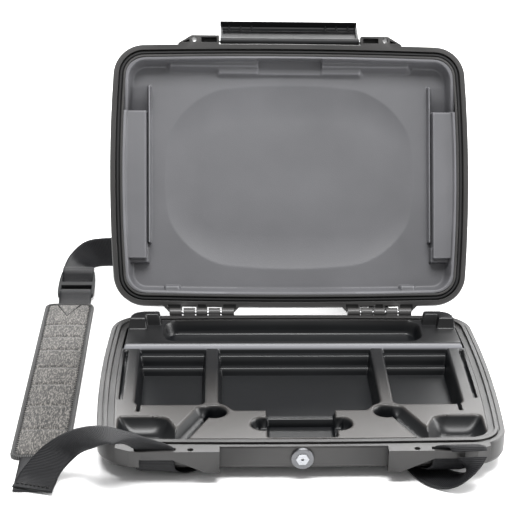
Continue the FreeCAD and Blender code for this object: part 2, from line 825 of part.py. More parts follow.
def tray_platform():
    """The raised back of the tray with its two towers, hollow underneath."""
    start = tray_top - sheet
    rim_y = half_depth
    profile = [
        (ridge_y, start), (ridge_y, ridge_top - ridge_round),
        (ridge_y + ridge_round / 3, ridge_top - ridge_round / 3),
        (ridge_y + ridge_round, ridge_top), (rim_y, ridge_top), (rim_y, start),
    ]
    raised = block_x(profile, -half_width, half_width)
    hollow = block_x([
        (ridge_y + sheet, start - overrun), (ridge_y + sheet, ridge_top - ridge_round),
        (ridge_y + 2 * sheet, ridge_top - sheet),
        (rim_y, ridge_top - sheet), (rim_y, start - overrun),
    ], -half_width, half_width)
    tower_top = tray_top + tower_height
    tower = box(tower_inner, half_width, tower_front, rim_y, start, tower_top)
    notch = box(
        tower_inner - overrun, tower_inner + tower_notch_width,
        tower_front - overrun, tower_front + tower_notch_depth,
        ridge_top, tower_top + overrun,
    )
    tower_room = box(
        tower_inner + sheet, half_width, tower_front + tower_notch_depth + sheet, rim_y,
        start - overrun, tower_top - tower_top_sheet,
    )
    bounds = [(start - 2 * overrun, 0.0), (tray_top, 0.0), (tower_top + overrun, tower_draft)]
    limit = stack(shell_plan, [(height, tray_inset + inset) for height, inset in bounds])
    inner_limit = stack(
        shell_plan, [(height, tray_inset + sheet + inset) for height, inset in bounds]
    )
    solid = raised.fuse([tower.cut(notch), other_side(tower.cut(notch))]).common(limit)
    rooms = hollow.fuse(both_sides(tower_room)).common(inner_limit)
    return solid.cut(rooms)


def base_tray():
    """The moulded tray: plateau, raised back, cups that stand on the shell's floor."""
    plate_bottom = tray_top - sheet
    plate = slab(shell_plan, plate_bottom, tray_top, tray_inset)
    hollows = []
    cups = []
    for plan, mouth, floor in tray_recesses():
        flare = min(pocket_flare, plan.corner / 2)
        fillet = min(pocket_fillet, (plan.corner - pocket_draft) / 2)
        space = recess(plan, mouth, floor, flare, pocket_draft, fillet)
        outside = cup(plan, mouth - sheet / 2, floor, pocket_draft, fillet, sheet)
        hollows.append(space)
        cups.append(outside)
        if plan.centre[0] > 0:
            hollows.append(other_side(space))
            cups.append(other_side(outside))
    cup_top = tray_top - sheet / 2
    finger_floor = tray_top - finger_drop
    finger = Part.makeCylinder(
        finger_radius, finger_drop + overrun, Vector(finger_x, finger_y, finger_floor)
    )
    finger_cup = Part.makeCylinder(
        finger_radius + sheet, cup_top - finger_floor + sheet,
        Vector(finger_x, finger_y, finger_floor - sheet),
    )
    channel_floor = tray_top - channel_drop
    groove = channel(0.0, channel_floor, tray_top + overrun)
    groove_cup = channel(sheet, channel_floor - sheet, cup_top)
    slit_sides = (
        slit_x - slit_width / 2, slit_x + slit_width / 2,
        pocket_side_front - slit_length, pocket_side_front + pocket_corner,
    )
    edge_sides = (edge_slot_inner, edge_slot_outer, edge_slot_front, edge_slot_back)
    narrow = [
        (finger, finger_cup),
        (groove, groove_cup),
        walled(slit_sides, tray_top - slit_drop),
        walled(edge_sides, tray_top - edge_slot_drop),
    ]
    for space, outside in narrow:
        hollows += both_sides(space)
        cups += both_sides(outside)
    body = merged([plate, tray_platform()] + cups)
    return body.cut(merged(hollows))


def hexagon_y(across, front, back, x, z):
    """A six-sided bar along Y."""
    radius = across / math.sqrt(3)
    turns = [math.tau * number / 6 for number in range(6)]
    points = [(x + radius * math.cos(turn), z + radius * math.sin(turn)) for turn in turns]
    return block_y(points, front, back)


def valve_parts():
    """The pressure valve: housing, seal, nut, membrane and knob."""
    outer = -half_depth
    face = outer - valve_flange_thickness
    head = rod_y(valve_flange_radius, face, outer, valve_x, valve_height)
    rims = [edge for edge in head.Edges if abs(edge.CenterOfMass.y - face) < valve_flange_round / 4]
    head = head.makeFillet(valve_flange_round, rims[:1])
    shank = rod_y(valve_shank_radius, outer, outer + valve_shank_length, valve_x, valve_height)
    bore = rod_y(
        valve_bore_radius, face - overrun, outer + valve_shank_length + overrun,
        valve_x, valve_height,
    )
    seat = hexagon_y(
        valve_hex_across + 2 * bore_clearance, face - overrun, face + valve_seat_depth,
        valve_x, valve_height,
    )
    ring_centre = Vector(valve_x, outer - valve_ring_radius, valve_height)
    ring = Part.makeTorus(valve_ring_path, valve_ring_radius, ring_centre, Vector(0, 1, 0))
    ring_seat = Part.makeTorus(
        valve_ring_path, valve_ring_radius + bore_clearance, ring_centre, Vector(0, 1, 0)
    )
    housing = head.fuse(shank).cut([bore, seat, ring_seat])
    nut_front = outer + wall + bore_clearance
    nut = hexagon_y(
        valve_nut_across, nut_front, nut_front + valve_nut_thickness, valve_x, valve_height
    ).cut(rod_y(
        valve_shank_radius + bore_clearance, outer, outer + valve_shank_length,
        valve_x, valve_height,
    ))
    knob_front = face - valve_hex_height + valve_seat_depth
    knob = hexagon_y(valve_hex_across, knob_front, face + valve_seat_depth, valve_x, valve_height)
    vent = rod_y(
        valve_bore_radius / 3, knob_front - overrun, face + valve_seat_depth + overrun,
        valve_x, valve_height,
    )
    knob = knob.cut(vent)
    film_front = face + valve_seat_depth + bore_clearance
    film = rod_y(
        valve_bore_radius - bore_clearance, film_front, film_front + membrane_thickness,
        valve_x, valve_height,
    )
    return {
        "valve_housing": housing,
        "valve_o_ring": ring,
        "valve_nut": nut,
        "valve_knob": knob,
        "valve_membrane": film,
    }


def lid_wing():
    """The right block on the lid's front, drawn closed."""
    top = lid_floor + lid_height - edge_height + edge_round
    inside = wall - half_depth
    seen_above = [
        (wing_inner_x - fit_gap, inside), (wing_inner_x - fit_gap, wing_front),
        (lid_wing_block_x, wing_front), (lid_wing_end_x, -half_depth),
        (lid_wing_end_x, inside),
    ]
    wing = block_z(seen_above, lid_floor, top)
    pocket = box(
        wing_inner_x + lid_wing_wall, wing_inner_x + lid_wing_wall + lid_wing_pocket_length,
        wing_front + lid_wing_wall, -half_depth - lid_wing_wall / 2,
        lid_floor - overrun, lid_floor + lid_wing_pocket_depth,
    )
    bottom_edge = -half_depth - lid_wing_wall / 2
    end_hole = block_z([
        (lid_wing_block_x + lid_wing_wall, bottom_edge),
        (lid_wing_block_x + lid_wing_wall, wing_front + 2 * lid_wing_wall),
        (lid_wing_end_x - 2 * lid_wing_wall, bottom_edge),
    ], lid_floor - overrun, lid_floor + lid_wing_pocket_depth)
    hole = lock_hole(lid_floor - overrun, top + overrun)
    return wing.cut([pocket, end_hole, hole])


def latch_pin_spans():
    """The X spans of the two short latch pins."""
    inner = latch_width / 2 - latch_pin_length + latch_pin_engagement
    return [(-inner - latch_pin_length, -inner), (inner, inner + latch_pin_length)]


def lid_shell():
    """The upper shell, drawn closed: bevelled body, seal groove, blocks and knuckles."""
    wall_top = lid_top - edge_height
    body = stack(shell_plan, [
        (lid_floor, edge_round / 2),
        (lid_floor + edge_round, 0.0),
        (wall_top - edge_round, 0.0),
        (wall_top + edge_round, edge_round),
        (lid_top - foot_height - edge_round / 2, bevel_inset - edge_round),
        (lid_top - foot_height, bevel_inset + edge_round),
    ])
    raised_plan_inset = bevel_inset + 2 * edge_round
    raised = stack(shell_plan, [
        (lid_top - foot_height - panel / 2, raised_plan_inset - edge_round),
        (lid_top, raised_plan_inset),
    ])
    room = stack(shell_plan, [
        (lid_floor + flange, wall),
        (wall_top - edge_round, wall),
        (lid_top - foot_height - panel, bevel_inset),
    ])
    mouth = slab(shell_plan, lid_floor - overrun, lid_floor + flange + overrun, lid_rim)
    seal_wall = slab(
        shell_plan, lid_floor + seal_depth - overrun, lid_floor + seal_depth + panel,
        seal_inset - panel / 2,
    ).cut(slab(shell_plan, lid_floor, lid_top, seal_inset + seal_width + panel / 2))
    seal = slab(shell_plan, lid_floor - overrun, lid_floor + seal_depth, seal_inset).cut(
        slab(shell_plan, lid_floor - 2 * overrun, lid_top, seal_inset + seal_width)
    )
    wing = lid_wing()
    arms = []
    pockets = []
    lug_flares = [(lug_flare, 0.0), (0.0, 0.0), (0.0, lug_flare)]
    for sign in (-1, 1):
        for span, flares in zip(hinge_spans(sign)[0], lug_flares):
            arms.append(knuckle(span, lid_floor, hinge_z + knuckle_radius, flares))
            pockets.append(lug_pocket(span, flares))
    shell = joined([body, raised]).cut(room)
    shell = joined([shell, seal_wall, wing, other_side(wing)] + arms).cut([mouth, seal] + pockets)
    bores = [hinge_bore(-1), hinge_bore(1)]
    for left, right in latch_pin_spans():
        bores.append(rod_x(
            latch_pin_radius + bore_clearance, left - fit_gap, right + fit_gap,
            latch_pivot_y, latch_pivot_z,
        ))
    return shell.cut(bores)


def lid_gasket():
    """The seal in the lid's groove, drawn closed."""
    top = lid_floor + seal_depth - gasket_clearance / 4
    bottom = top - gasket_height
    inset = seal_inset + gasket_clearance
    width = seal_width - 2 * gasket_clearance
    third = width / 3
    outer = stack(shell_plan, [(bottom, inset + third), (bottom + third, inset), (top, inset)])
    hole = stack(shell_plan, [
        (bottom - overrun, inset + width - third),
        (bottom, inset + width - third),
        (bottom + third, inset + width),
        (top, inset + width),
        (top + overrun, inset + width),
    ])
    return outer.cut(hole)


def liner_bar():
    """The right side bar of the liner: the plan of the solid that fills the cavity."""
    outer = half_width
    tip = Vector(bar_inner, bar_front_inner, bar_mouth)
    root = Vector(outer, bar_front_outer, bar_mouth)
    middle = (tip + root) / 2 + Vector(-bar_bulge, bar_bulge, 0)
    edges = [
        Part.Arc(root, middle, tip).toShape(),
        Part.makeLine(tip, Vector(bar_inner, bar_back_inner, bar_mouth)),
        Part.makeLine(
            Vector(bar_inner, bar_back_inner, bar_mouth),
            Vector(outer, bar_back_outer, bar_mouth),
        ),
        Part.makeLine(Vector(outer, bar_back_outer, bar_mouth), root),
    ]
    bar_top = liner_ceiling + liner_sheet / 2
    bar = Part.Face(Part.Wire(edges)).extrude(Vector(0, 0, bar_top - bar_mouth))
    step = box(
        bar_inner - overrun, bar_inner + bar_step_width, bar_back_inner - bar_step_length,
        bar_back_inner + overrun, bar_mouth - overrun, bar_mouth + bar_step_depth,
    )
    core = box(
        bar_inner + liner_sheet, half_width - liner_inset - liner_draft - liner_sheet,
        bar_front_inner + liner_sheet, bar_back_outer - liner_sheet,
        bar_mouth + bar_step_depth + liner_sheet, liner_ceiling + 2 * liner_sheet,
    )
    return bar.cut(step), core


def lid_liner():
    """The moulded liner of the lid, drawn closed: bars, ledges and a shallow dish."""
    back = liner_back
    rim_drop = liner_mouth + liner_lip
    flat = slab(shell_plan, liner_mouth, rim_drop, liner_inset)
    skirt = stack(shell_plan, [
        (liner_mouth, liner_inset),
        (back - liner_fillet, liner_inset + liner_draft),
        (back, liner_inset + liner_draft + liner_fillet),
    ])
    mouth_inset = liner_inset + liner_sheet
    space = stack(shell_plan, [
        (liner_mouth - overrun, mouth_inset - edge_round),
        (liner_mouth, mouth_inset - edge_round),
        (liner_mouth + edge_round, mouth_inset),
        (liner_ceiling - liner_fillet, mouth_inset + liner_draft),
        (liner_ceiling - liner_fillet / 3, mouth_inset + liner_draft + liner_fillet / 3),
        (liner_ceiling, mouth_inset + liner_draft + liner_fillet),
    ])
    bar, core = liner_bar()
    front = -half_depth + mouth_inset
    rear = half_depth - mouth_inset
    ledge_z = liner_mouth + ledge_sink
    ledges = [
        box(-ledge_half, ledge_half, front - overrun, front + ledge_reach, ledge_z, back),
        box(
            -ledge_middle_half, ledge_middle_half, front - overrun, front + ledge_middle_reach,
            ledge_z + ledge_sink / 2, back,
        ),
        box(
            -rear_ledge_half, rear_ledge_half, rear - rear_ledge_reach, rear + overrun,
            ledge_z, back,
        ),
    ]
    notch = block_z([
        (-ledge_notch_half, front - overrun), (ledge_notch_half, front - overrun),
        (ledge_notch_half - ledge_reach / 2, front + 2 * ledge_middle_reach),
        (ledge_reach / 2 - ledge_notch_half, front + 2 * ledge_middle_reach),
    ], liner_mouth - overrun, liner_ceiling)
    ledges = [ledge.cut(notch) for ledge in ledges[:2]] + ledges[2:]
    for sign in (-1, 1):
        centre = sign * stop_x
        ledges.append(box(
            centre - stop_half, centre + stop_half, rear - stop_reach, rear + overrun,
            bar_mouth, back,
        ))
    dish_plan = Plan(dish_width, dish_depth, dish_corner, dish_side_radius, dish_end_radius)
    dish = stack(dish_plan, [(liner_ceiling - overrun, 0.0)] + [
        (liner_ceiling + dish_sink * depth_share, dish_corner * inset_share)
        for depth_share, inset_share in dish_wall_shares
    ])
    dish_back = stack(dish_plan, [
        (back - liner_sheet / 2, -liner_sheet),
        (back + dish_sink / 2, dish_corner / 6),
        (back + dish_sink, dish_corner / 2),
    ])
    cores = both_sides(core)
    inside = [shape.common(skirt) for shape in both_sides(bar) + ledges]
    body = joined([flat, skirt, dish_back]).cut(space)
    body = joined([body] + inside)
    return body.cut([dish] + cores).removeSplitter()


def latch():
    """The wide latch, drawn closed: barrel, curved cover, ribs and hook."""
    half = latch_width / 2
    outer = latch_pivot_y - latch_barrel_radius
    inner = outer + latch_sheet
    bottom = edge_height - latch_hook_drop - latch_hook_height
    hook_top = bottom + latch_hook_height
    barrel = rod_x(latch_barrel_radius, -half, half, latch_pivot_y, latch_pivot_z)
    cover = block_x([
        (outer, latch_pivot_z), (outer, bottom + latch_hook_height / 2),
        (outer + latch_hook_height / 2, bottom),
        (-half_depth + latch_hook_bite - latch_hook_height / 2, bottom),
        (-half_depth + latch_hook_bite, bottom + latch_hook_height / 2),
        (-half_depth + latch_hook_bite, hook_top),
        (inner + latch_hook_height / 2, hook_top),
        (inner, hook_top + latch_hook_height / 2), (inner, latch_pivot_z),
    ], -half, half)
    side_back = -half_depth - parting_gap - edge_round
    sides = [
        box(left, left + latch_side, outer, side_back, bottom, latch_pivot_z)
        for left in (-half, half - latch_side)
    ]
    rib_places = [sign * half * share for sign in (-1, 1) for share in latch_rib_shares]
    ribs = [
        box(
            place - latch_rib_width / 2, place + latch_rib_width / 2, inner - overrun,
            inner + latch_rib_depth, bottom, bottom + 3 * latch_barrel_radius,
        )
        for place in rib_places
    ]
    ridge_z = bottom + 3 * latch_barrel_radius
    ridge = box(
        latch_side - half, half - latch_side, inner - overrun, inner + latch_rib_width,
        ridge_z, ridge_z + latch_rib_width,
    )
    bores = [
        rod_x(
            latch_pin_radius + bore_clearance, left - fit_gap, right + fit_gap,
            latch_pivot_y, latch_pivot_z,
        )
        for left, right in latch_pin_spans()
    ]
    return joined([barrel, cover, ridge] + sides + ribs).cut(bores)


def between(spots, number, share):
    """A point on the smooth curve through the spots, a share of the way past one of them."""
    last = len(spots) - 1
    ends = [spots[max(number - 1, 0)], spots[number]]
    ends += [spots[min(number + 1, last)], spots[min(number + 2, last)]]
    weights = [
        (-share + 2 * share ** 2 - share ** 3) / 2,
        (2 - 5 * share ** 2 + 3 * share ** 3) / 2,
        (share + 4 * share ** 2 - 3 * share ** 3) / 2,
        (share ** 3 - share ** 2) / 2,
    ]
    spot = Vector()
    for end, weight in zip(ends, weights):
        spot += end * weight
    return spot


def ribbon(shares, pull_shares=()):
    """Webbing through a list of stations, each a left and a right edge in shares."""
    shift = tab_end - tab_end_share * route_depth
    pulls = list(pull_shares) + [0.0] * (len(shares) - len(pull_shares))
    sides = ([], [])
    for station, pull in zip(shares, pulls):
        left, right = (
            Vector(across * route_width, along * route_depth + pull * shift, up * base_height)
            for across, along, up in station
        )
        middle = (left + right) / 2
        half = (right - left).normalize() * (webbing_width / 2)
        sides[0].append(middle - half)
        sides[1].append(middle + half)
    edges = []
    for spots in sides:
        fine = []
        for number in range(len(spots) - 1):
            fine += [between(spots, number, step / ribbon_steps) for step in range(ribbon_steps)]
        edges.append(fine + [spots[-1]])
    middles = [(left + right) / 2 for left, right in zip(*edges)]
    rings = []
    for number, (left, right) in enumerate(zip(*edges)):
        before = middles[max(number - 1, 0)]
        after = middles[min(number + 1, len(middles) - 1)]
        normal = (right - left).cross(after - before).normalize() * (webbing_thickness / 2)
        rings.append([left + normal, right + normal, right - normal, left - normal])
    faces = [outline_face(rings[0]), outline_face(rings[-1])]
    for near, far in zip(rings, rings[1:]):
        for corner in range(4):
            turn = (corner + 1) % 4
            faces.append(outline_face([near[corner], near[turn], far[turn]]))
            faces.append(outline_face([near[corner], far[turn], far[corner]]))
    length = sum((after - before).Length for before, after in zip(middles, middles[1:]))
    print("webbing with", len(rings), "sections runs", round(length), "mm")
    webbing = Part.Solid(Part.makeShell(faces))
    if webbing.Volume < 0:
        webbing.reverse()
    return webbing


def pad_parts():
    """The shoulder pad on the floor: backing, quilted face and edge binding."""
    centre = (pad_centre_x, pad_centre_y)
    outline = Plan(pad_width, pad_length, pad_corner, centre=centre)
    inset = pad_binding_width + fit_gap
    ring = stack(outline, [
        (0.0, edge_round / 2), (edge_round / 2, 0.0),
        (pad_binding_height - edge_round / 2, 0.0), (pad_binding_height, edge_round / 2),
    ]).cut(slab(outline, -overrun, pad_height + overrun, pad_binding_width))
    back_plan = Plan(
        pad_width - 2 * inset, pad_length - 2 * inset, pad_corner / 4, centre=centre
    )
    backing = slab(back_plan, 0.0, pad_back_thickness)
    half = pad_width / 2 - inset
    front = pad_front + inset
    run = pad_length - 2 * inset
    sections = [(0.0, 0.0)]
    for share in quilt_shares:
        sections += [
            (share * run - quilt_width / 2, 0.0), (share * run, quilt_depth),
            (share * run + quilt_width / 2, 0.0),
        ]
    sections.append((run, 0.0))
    bottom = pad_back_thickness + fit_gap / 3
    wires = []
    for along, dip in sections:
        y = front + along
        shoulder = pad_height - pad_crown - dip
        left = Vector(pad_centre_x - half, y, shoulder)
        right = Vector(pad_centre_x + half, y, shoulder)
        crown = Vector(pad_centre_x, y, pad_height - dip)
        low_left = Vector(pad_centre_x - half, y, bottom)
        low_right = Vector(pad_centre_x + half, y, bottom)
        wires.append(Part.Wire([
            Part.makeLine(low_left, low_right), Part.makeLine(low_right, right),
            Part.Arc(right, crown, left).toShape(), Part.makeLine(left, low_left),
        ]))
    face = Part.makeLoft(wires, True, True)
    return {"pad_binding": ring, "pad_backing": backing, "pad_face": face}


def flat_webbing(centre_x, front, back, bottom):
    """A straight flat length of webbing along Y."""
    half = webbing_width / 2
    return box(centre_x - half, centre_x + half, front, back, bottom, bottom + webbing_thickness)


def strap_buckle():
    """The ladder-lock buckle between the pad and the long webbing."""
    left = buckle_centre_x - buckle_width / 2
    right = left + buckle_width
    near = buckle_near_y
    plan = rectangle(left, right, near, near + buckle_length, edge_round)
    frame = slab(plan, buckle_lift, buckle_lift + buckle_thickness)
    near_window = near + buckle_end_bar
    far_window = near_window + buckle_near_window + buckle_middle_bar
    windows = [
        (near_window, near_window + buckle_near_window),
        (far_window, far_window + buckle_far_window),
    ]
    cuts = [
        box(
            left + buckle_rail, right - buckle_rail, start, end,
            buckle_lift - overrun, buckle_lift + buckle_thickness + overrun,
        )
        for start, end in windows
    ]
    frame = frame.cut(cuts)
    frame.rotate(Vector(0, near, buckle_lift), Vector(1, 0, 0), buckle_tilt_deg)
    return frame


def build():
    """Every piece of the case by name, in the pose of the open case."""
    pieces = {"base_shell": base_shell(), "base_tray": base_tray()}
    pieces.update(valve_parts())
    for side, sign in (("left", -1), ("right", 1)):
        centre = sign * hinge_centre_x
        reach = hinge_length / 2
        pieces["hinge_pin_" + side] = rod_x(
            hinge_pin_radius, centre - reach, centre + reach, hinge_y, hinge_z
        )
    pieces["lid_shell"] = turned_open(lid_shell())
    pieces["lid_liner"] = turned_open(lid_liner())
    pieces["lid_gasket"] = turned_open(lid_gasket())
    for side, (left, right) in zip(("left", "right"), latch_pin_spans()):
        pin = rod_x(latch_pin_radius, left, right, latch_pivot_y, latch_pivot_z)
        pieces["latch_pin_" + side] = turned_open(pin)
    pieces["latch"] = turned_open(latch_swung(latch()))
    pieces.update(pad_parts())
    pieces["strap_tab"] = flat_webbing(pad_centre_x, tab_end, tab_end + tab_length, floor_gap)
    lead_front = pad_back + floor_gap
    pieces["strap_pad_lead"] = flat_webbing(
        buckle_centre_x, lead_front, lead_front + lead_length, lead_lift
    )
    pieces["strap_buckle"] = strap_buckle()
    pieces["strap_left_webbing"] = ribbon(left_webbing_shares, left_pull_shares)
    pieces["strap_main_webbing"] = ribbon(main_webbing_shares)
    pieces["strap_right_tail"] = ribbon(right_tail_shares)
    return pieces


os.makedirs("parts", exist_ok=True)
for name, shape in build().items():
    if not shape.isValid() or len(shape.Solids) != 1:
        print("look at", name, shape.ShapeType, shape.isValid(), len(shape.Solids))
    shape.exportStep("parts/" + name + ".step")
    print(name, round(shape.Volume / 1000, 1), "cm3")
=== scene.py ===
"""Dresses the open hard case: moulded shells, tray and liner, valve, latch, webbing and pad.

Lengths are in metres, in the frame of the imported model: +X right, +Y back, +Z up.
"""

from __future__ import annotations

import logging
import math
from collections.abc import Callable
from dataclasses import dataclass, field
from enum import Enum

import bpy
import numpy as np
from mathutils import Matrix, Vector

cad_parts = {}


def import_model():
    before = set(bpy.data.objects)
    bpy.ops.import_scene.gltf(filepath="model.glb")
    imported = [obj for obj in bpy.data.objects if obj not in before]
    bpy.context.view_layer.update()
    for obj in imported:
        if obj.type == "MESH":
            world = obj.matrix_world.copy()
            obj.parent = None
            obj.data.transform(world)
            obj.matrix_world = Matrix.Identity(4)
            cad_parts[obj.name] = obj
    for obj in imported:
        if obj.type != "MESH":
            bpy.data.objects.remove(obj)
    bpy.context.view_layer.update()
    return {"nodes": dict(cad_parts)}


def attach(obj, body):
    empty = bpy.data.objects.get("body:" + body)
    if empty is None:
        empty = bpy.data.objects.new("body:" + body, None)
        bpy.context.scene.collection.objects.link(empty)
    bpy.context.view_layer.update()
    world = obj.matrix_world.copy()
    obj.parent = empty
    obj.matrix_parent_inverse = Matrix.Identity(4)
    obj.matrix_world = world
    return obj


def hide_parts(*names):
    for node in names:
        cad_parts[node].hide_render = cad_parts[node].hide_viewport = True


LOG = logging.getLogger("hard_case")

Colour = tuple[float, float, float]
Spot = tuple[float, float, float]
Station = tuple[Spot, Spot]
Box = tuple[float, float, float, float]
Profile = tuple[tuple[float, float], ...]
Socket = bpy.types.NodeSocket
Inputs = dict[str | int, object]
Piece = bpy.types.Object

# The values between which most of a noise pattern lies.
NOISE_RANGE = (0.3, 0.7)


class Space(Enum):
    """Where a finish takes its pattern from."""

    OBJECT = "Object"
    UV = "UV"


class Graph:
    """The nodes of one material, with short ways to add and join them."""

    def __init__(self, name: str) -> None:
        """Starts an empty material.

        Args:
            name: The material's name.
        """
        self.material = bpy.data.materials.new(name)
        self.material.use_nodes = True
        self.tree = self.material.node_tree
        self.tree.nodes.clear()
        self.shader = self.tree.nodes.new("ShaderNodeBsdfPrincipled")
        output = self.tree.nodes.new("ShaderNodeOutputMaterial")
        self.tree.links.new(self.shader.outputs["BSDF"], output.inputs["Surface"])

    def feed(self, node: bpy.types.Node, inputs: Inputs) -> None:
        """Links inputs of a node to sockets, or sets them to plain values.

        Args:
            node: The node.
            inputs: A socket or a value for each input.
        """
        for name, value in inputs.items():
            if isinstance(value, Socket):
                self.tree.links.new(value, node.inputs[name])
            else:
                node.inputs[name].default_value = value

    def add(self, kind: str, inputs: Inputs, **settings: object) -> bpy.types.Node:
        """Adds one node.

        Args:
            kind: Blender's name of the node.
            inputs: A socket or a value for each input.
            settings: Properties of the node.

        Returns:
            The new node.
        """
        node = self.tree.nodes.new(kind)
        for key, value in settings.items():
            setattr(node, key, value)
        self.feed(node, inputs)
        return node

    def shade(self, inputs: Inputs) -> bpy.types.Material:
        """Feeds the shader and gives the finished material."""
        self.feed(self.shader, inputs)
        return self.material

    def place(self, space: Space, stretch: Spot = (1.0, 1.0, 1.0)) -> Socket:
        """Gives the coordinates of a pattern.

        Args:
            space: Where they come from.
            stretch: The scale along each axis.

        Returns:
            The socket with the coordinates.
        """
        source = self.add("ShaderNodeTexCoord", {}).outputs[space.value]
        mapping = self.add("ShaderNodeMapping", {"Vector": source, "Scale": stretch})
        return mapping.outputs["Vector"]

    def noise(self, where: Socket, scale: float, detail: float) -> Socket:
        """Adds a noise pattern.

        Args:
            where: Its coordinates.
            scale: Its scale, per metre.
            detail: Its detail.

        Returns:
            The socket with the pattern's value.
        """
        node = self.add("ShaderNodeTexNoise", {"Vector": where, "Scale": scale, "Detail": detail})
        return node.outputs["Fac"]

    def ramp(self, value: Socket, stops: list[tuple[float, Colour]]) -> Socket:
        """Turns a value into a colour.

        Args:
            value: The value.
            stops: Places on the ramp and their colours.

        Returns:
            The socket with the colour.
        """
        node = self.add("ShaderNodeValToRGB", {"Fac": value})
        band = node.color_ramp
        for number, (place, colour) in enumerate(stops):
            stop = band.elements[number] if number < 2 else band.elements.new(place)
            stop.position = place
            stop.color = (*colour, 1.0)
        return node.outputs["Color"]

    def even(self, value: Socket, colour: Colour) -> Socket:
        """Gives one colour for every value."""
        return self.ramp(value, [(0.0, colour), (1.0, colour)])

    def product(self, first: Socket, second: Socket) -> Socket:
        """Multiplies two values."""
        return self.add("ShaderNodeMath", {0: first, 1: second}, operation="MULTIPLY").outputs[0]

    def span(
        self, value: Socket, low: float, high: float, start: float = 0.0, end: float = 1.0
    ) -> Socket:
        """Maps a value to a range.

        Args:
            value: The value.
            low: What the start becomes.
            high: What the end becomes.
            start: The value's start.
            end: The value's end.

        Returns:
            The socket with the new value.
        """
        node = self.add("ShaderNodeMapRange", {
            "Value": value, "From Min": start, "From Max": end, "To Min": low, "To Max": high,
        })
        return node.outputs["Result"]

    def blend(self, share: Socket, first: Socket, second: Socket) -> Socket:
        """Mixes two colours.

        Args:
            share: How much of the second.
            first: The first colour.
            second: The second colour.

        Returns:
            The socket with the mixed colour.
        """
        inputs = {"Factor": share, "A": first, "B": second}
        return self.add("ShaderNodeMix", inputs, data_type="RGBA").outputs["Result"]

    def bump(
        self, height: Socket, strength: float, depth: float, normal: Socket | None = None
    ) -> Socket:
        """Adds relief to a surface.

        Args:
            height: The relief's height.
            strength: How much of it shows.
            depth: Its depth in metres.
            normal: The normal below it.

        Returns:
            The socket with the new normal.
        """
        inputs = {"Strength": strength, "Distance": depth, "Height": height}
        if normal is not None:
            inputs["Normal"] = normal
        return self.add("ShaderNodeBump", inputs).outputs["Normal"]

    def rounded(self, radius: float) -> Socket:
        """Gives the normal of edges that are rounded by a small radius."""
        return self.add("ShaderNodeBevel", {"Radius": radius}, samples=4).outputs["Normal"]


@dataclass(frozen=True)
class MouldedPlastic:
    """A moulded plastic with a fine grain and worn edges."""

    name: str
    dark: Colour
    light: Colour
    roughness: tuple[float, float]
    grain: float = 1100.0
    grain_depth: float = 0.00006
    grain_strength: float = 0.5
    edge: float = 0.0006
    edge_light: float = 0.35
    edge_points: tuple[float, float] = (0.51, 0.60)
    edge_gain: float = 3.2
    edge_lift: float = 0.03
    clouds: float = 14.0
    specular: float = 0.5

    def material(self) -> bpy.types.Material:
        """Builds the material.

        Returns:
            The material.
        """
        graph = Graph(self.name)
        where = graph.place(Space.OBJECT)
        cloudy = graph.noise(where, self.clouds, 4.0)
        body = graph.ramp(cloudy, [(0.3, self.dark), (0.75, self.light)])
        pointed = graph.add("ShaderNodeNewGeometry", {}).outputs["Pointiness"]
        worn = graph.span(pointed, 0.0, self.edge_light, *self.edge_points)
        pale = tuple(min(1.0, part * self.edge_gain + self.edge_lift) for part in self.light)
        speckle = graph.noise(where, self.grain, 2.0)
        return graph.shade({
            "Base Color": graph.blend(worn, body, graph.even(cloudy, pale)),
            "Roughness": graph.span(cloudy, *self.roughness, *NOISE_RANGE),
            "Normal": graph.bump(
                speckle, self.grain_strength, self.grain_depth, graph.rounded(self.edge)
            ),
            "Specular IOR Level": self.specular,
        })


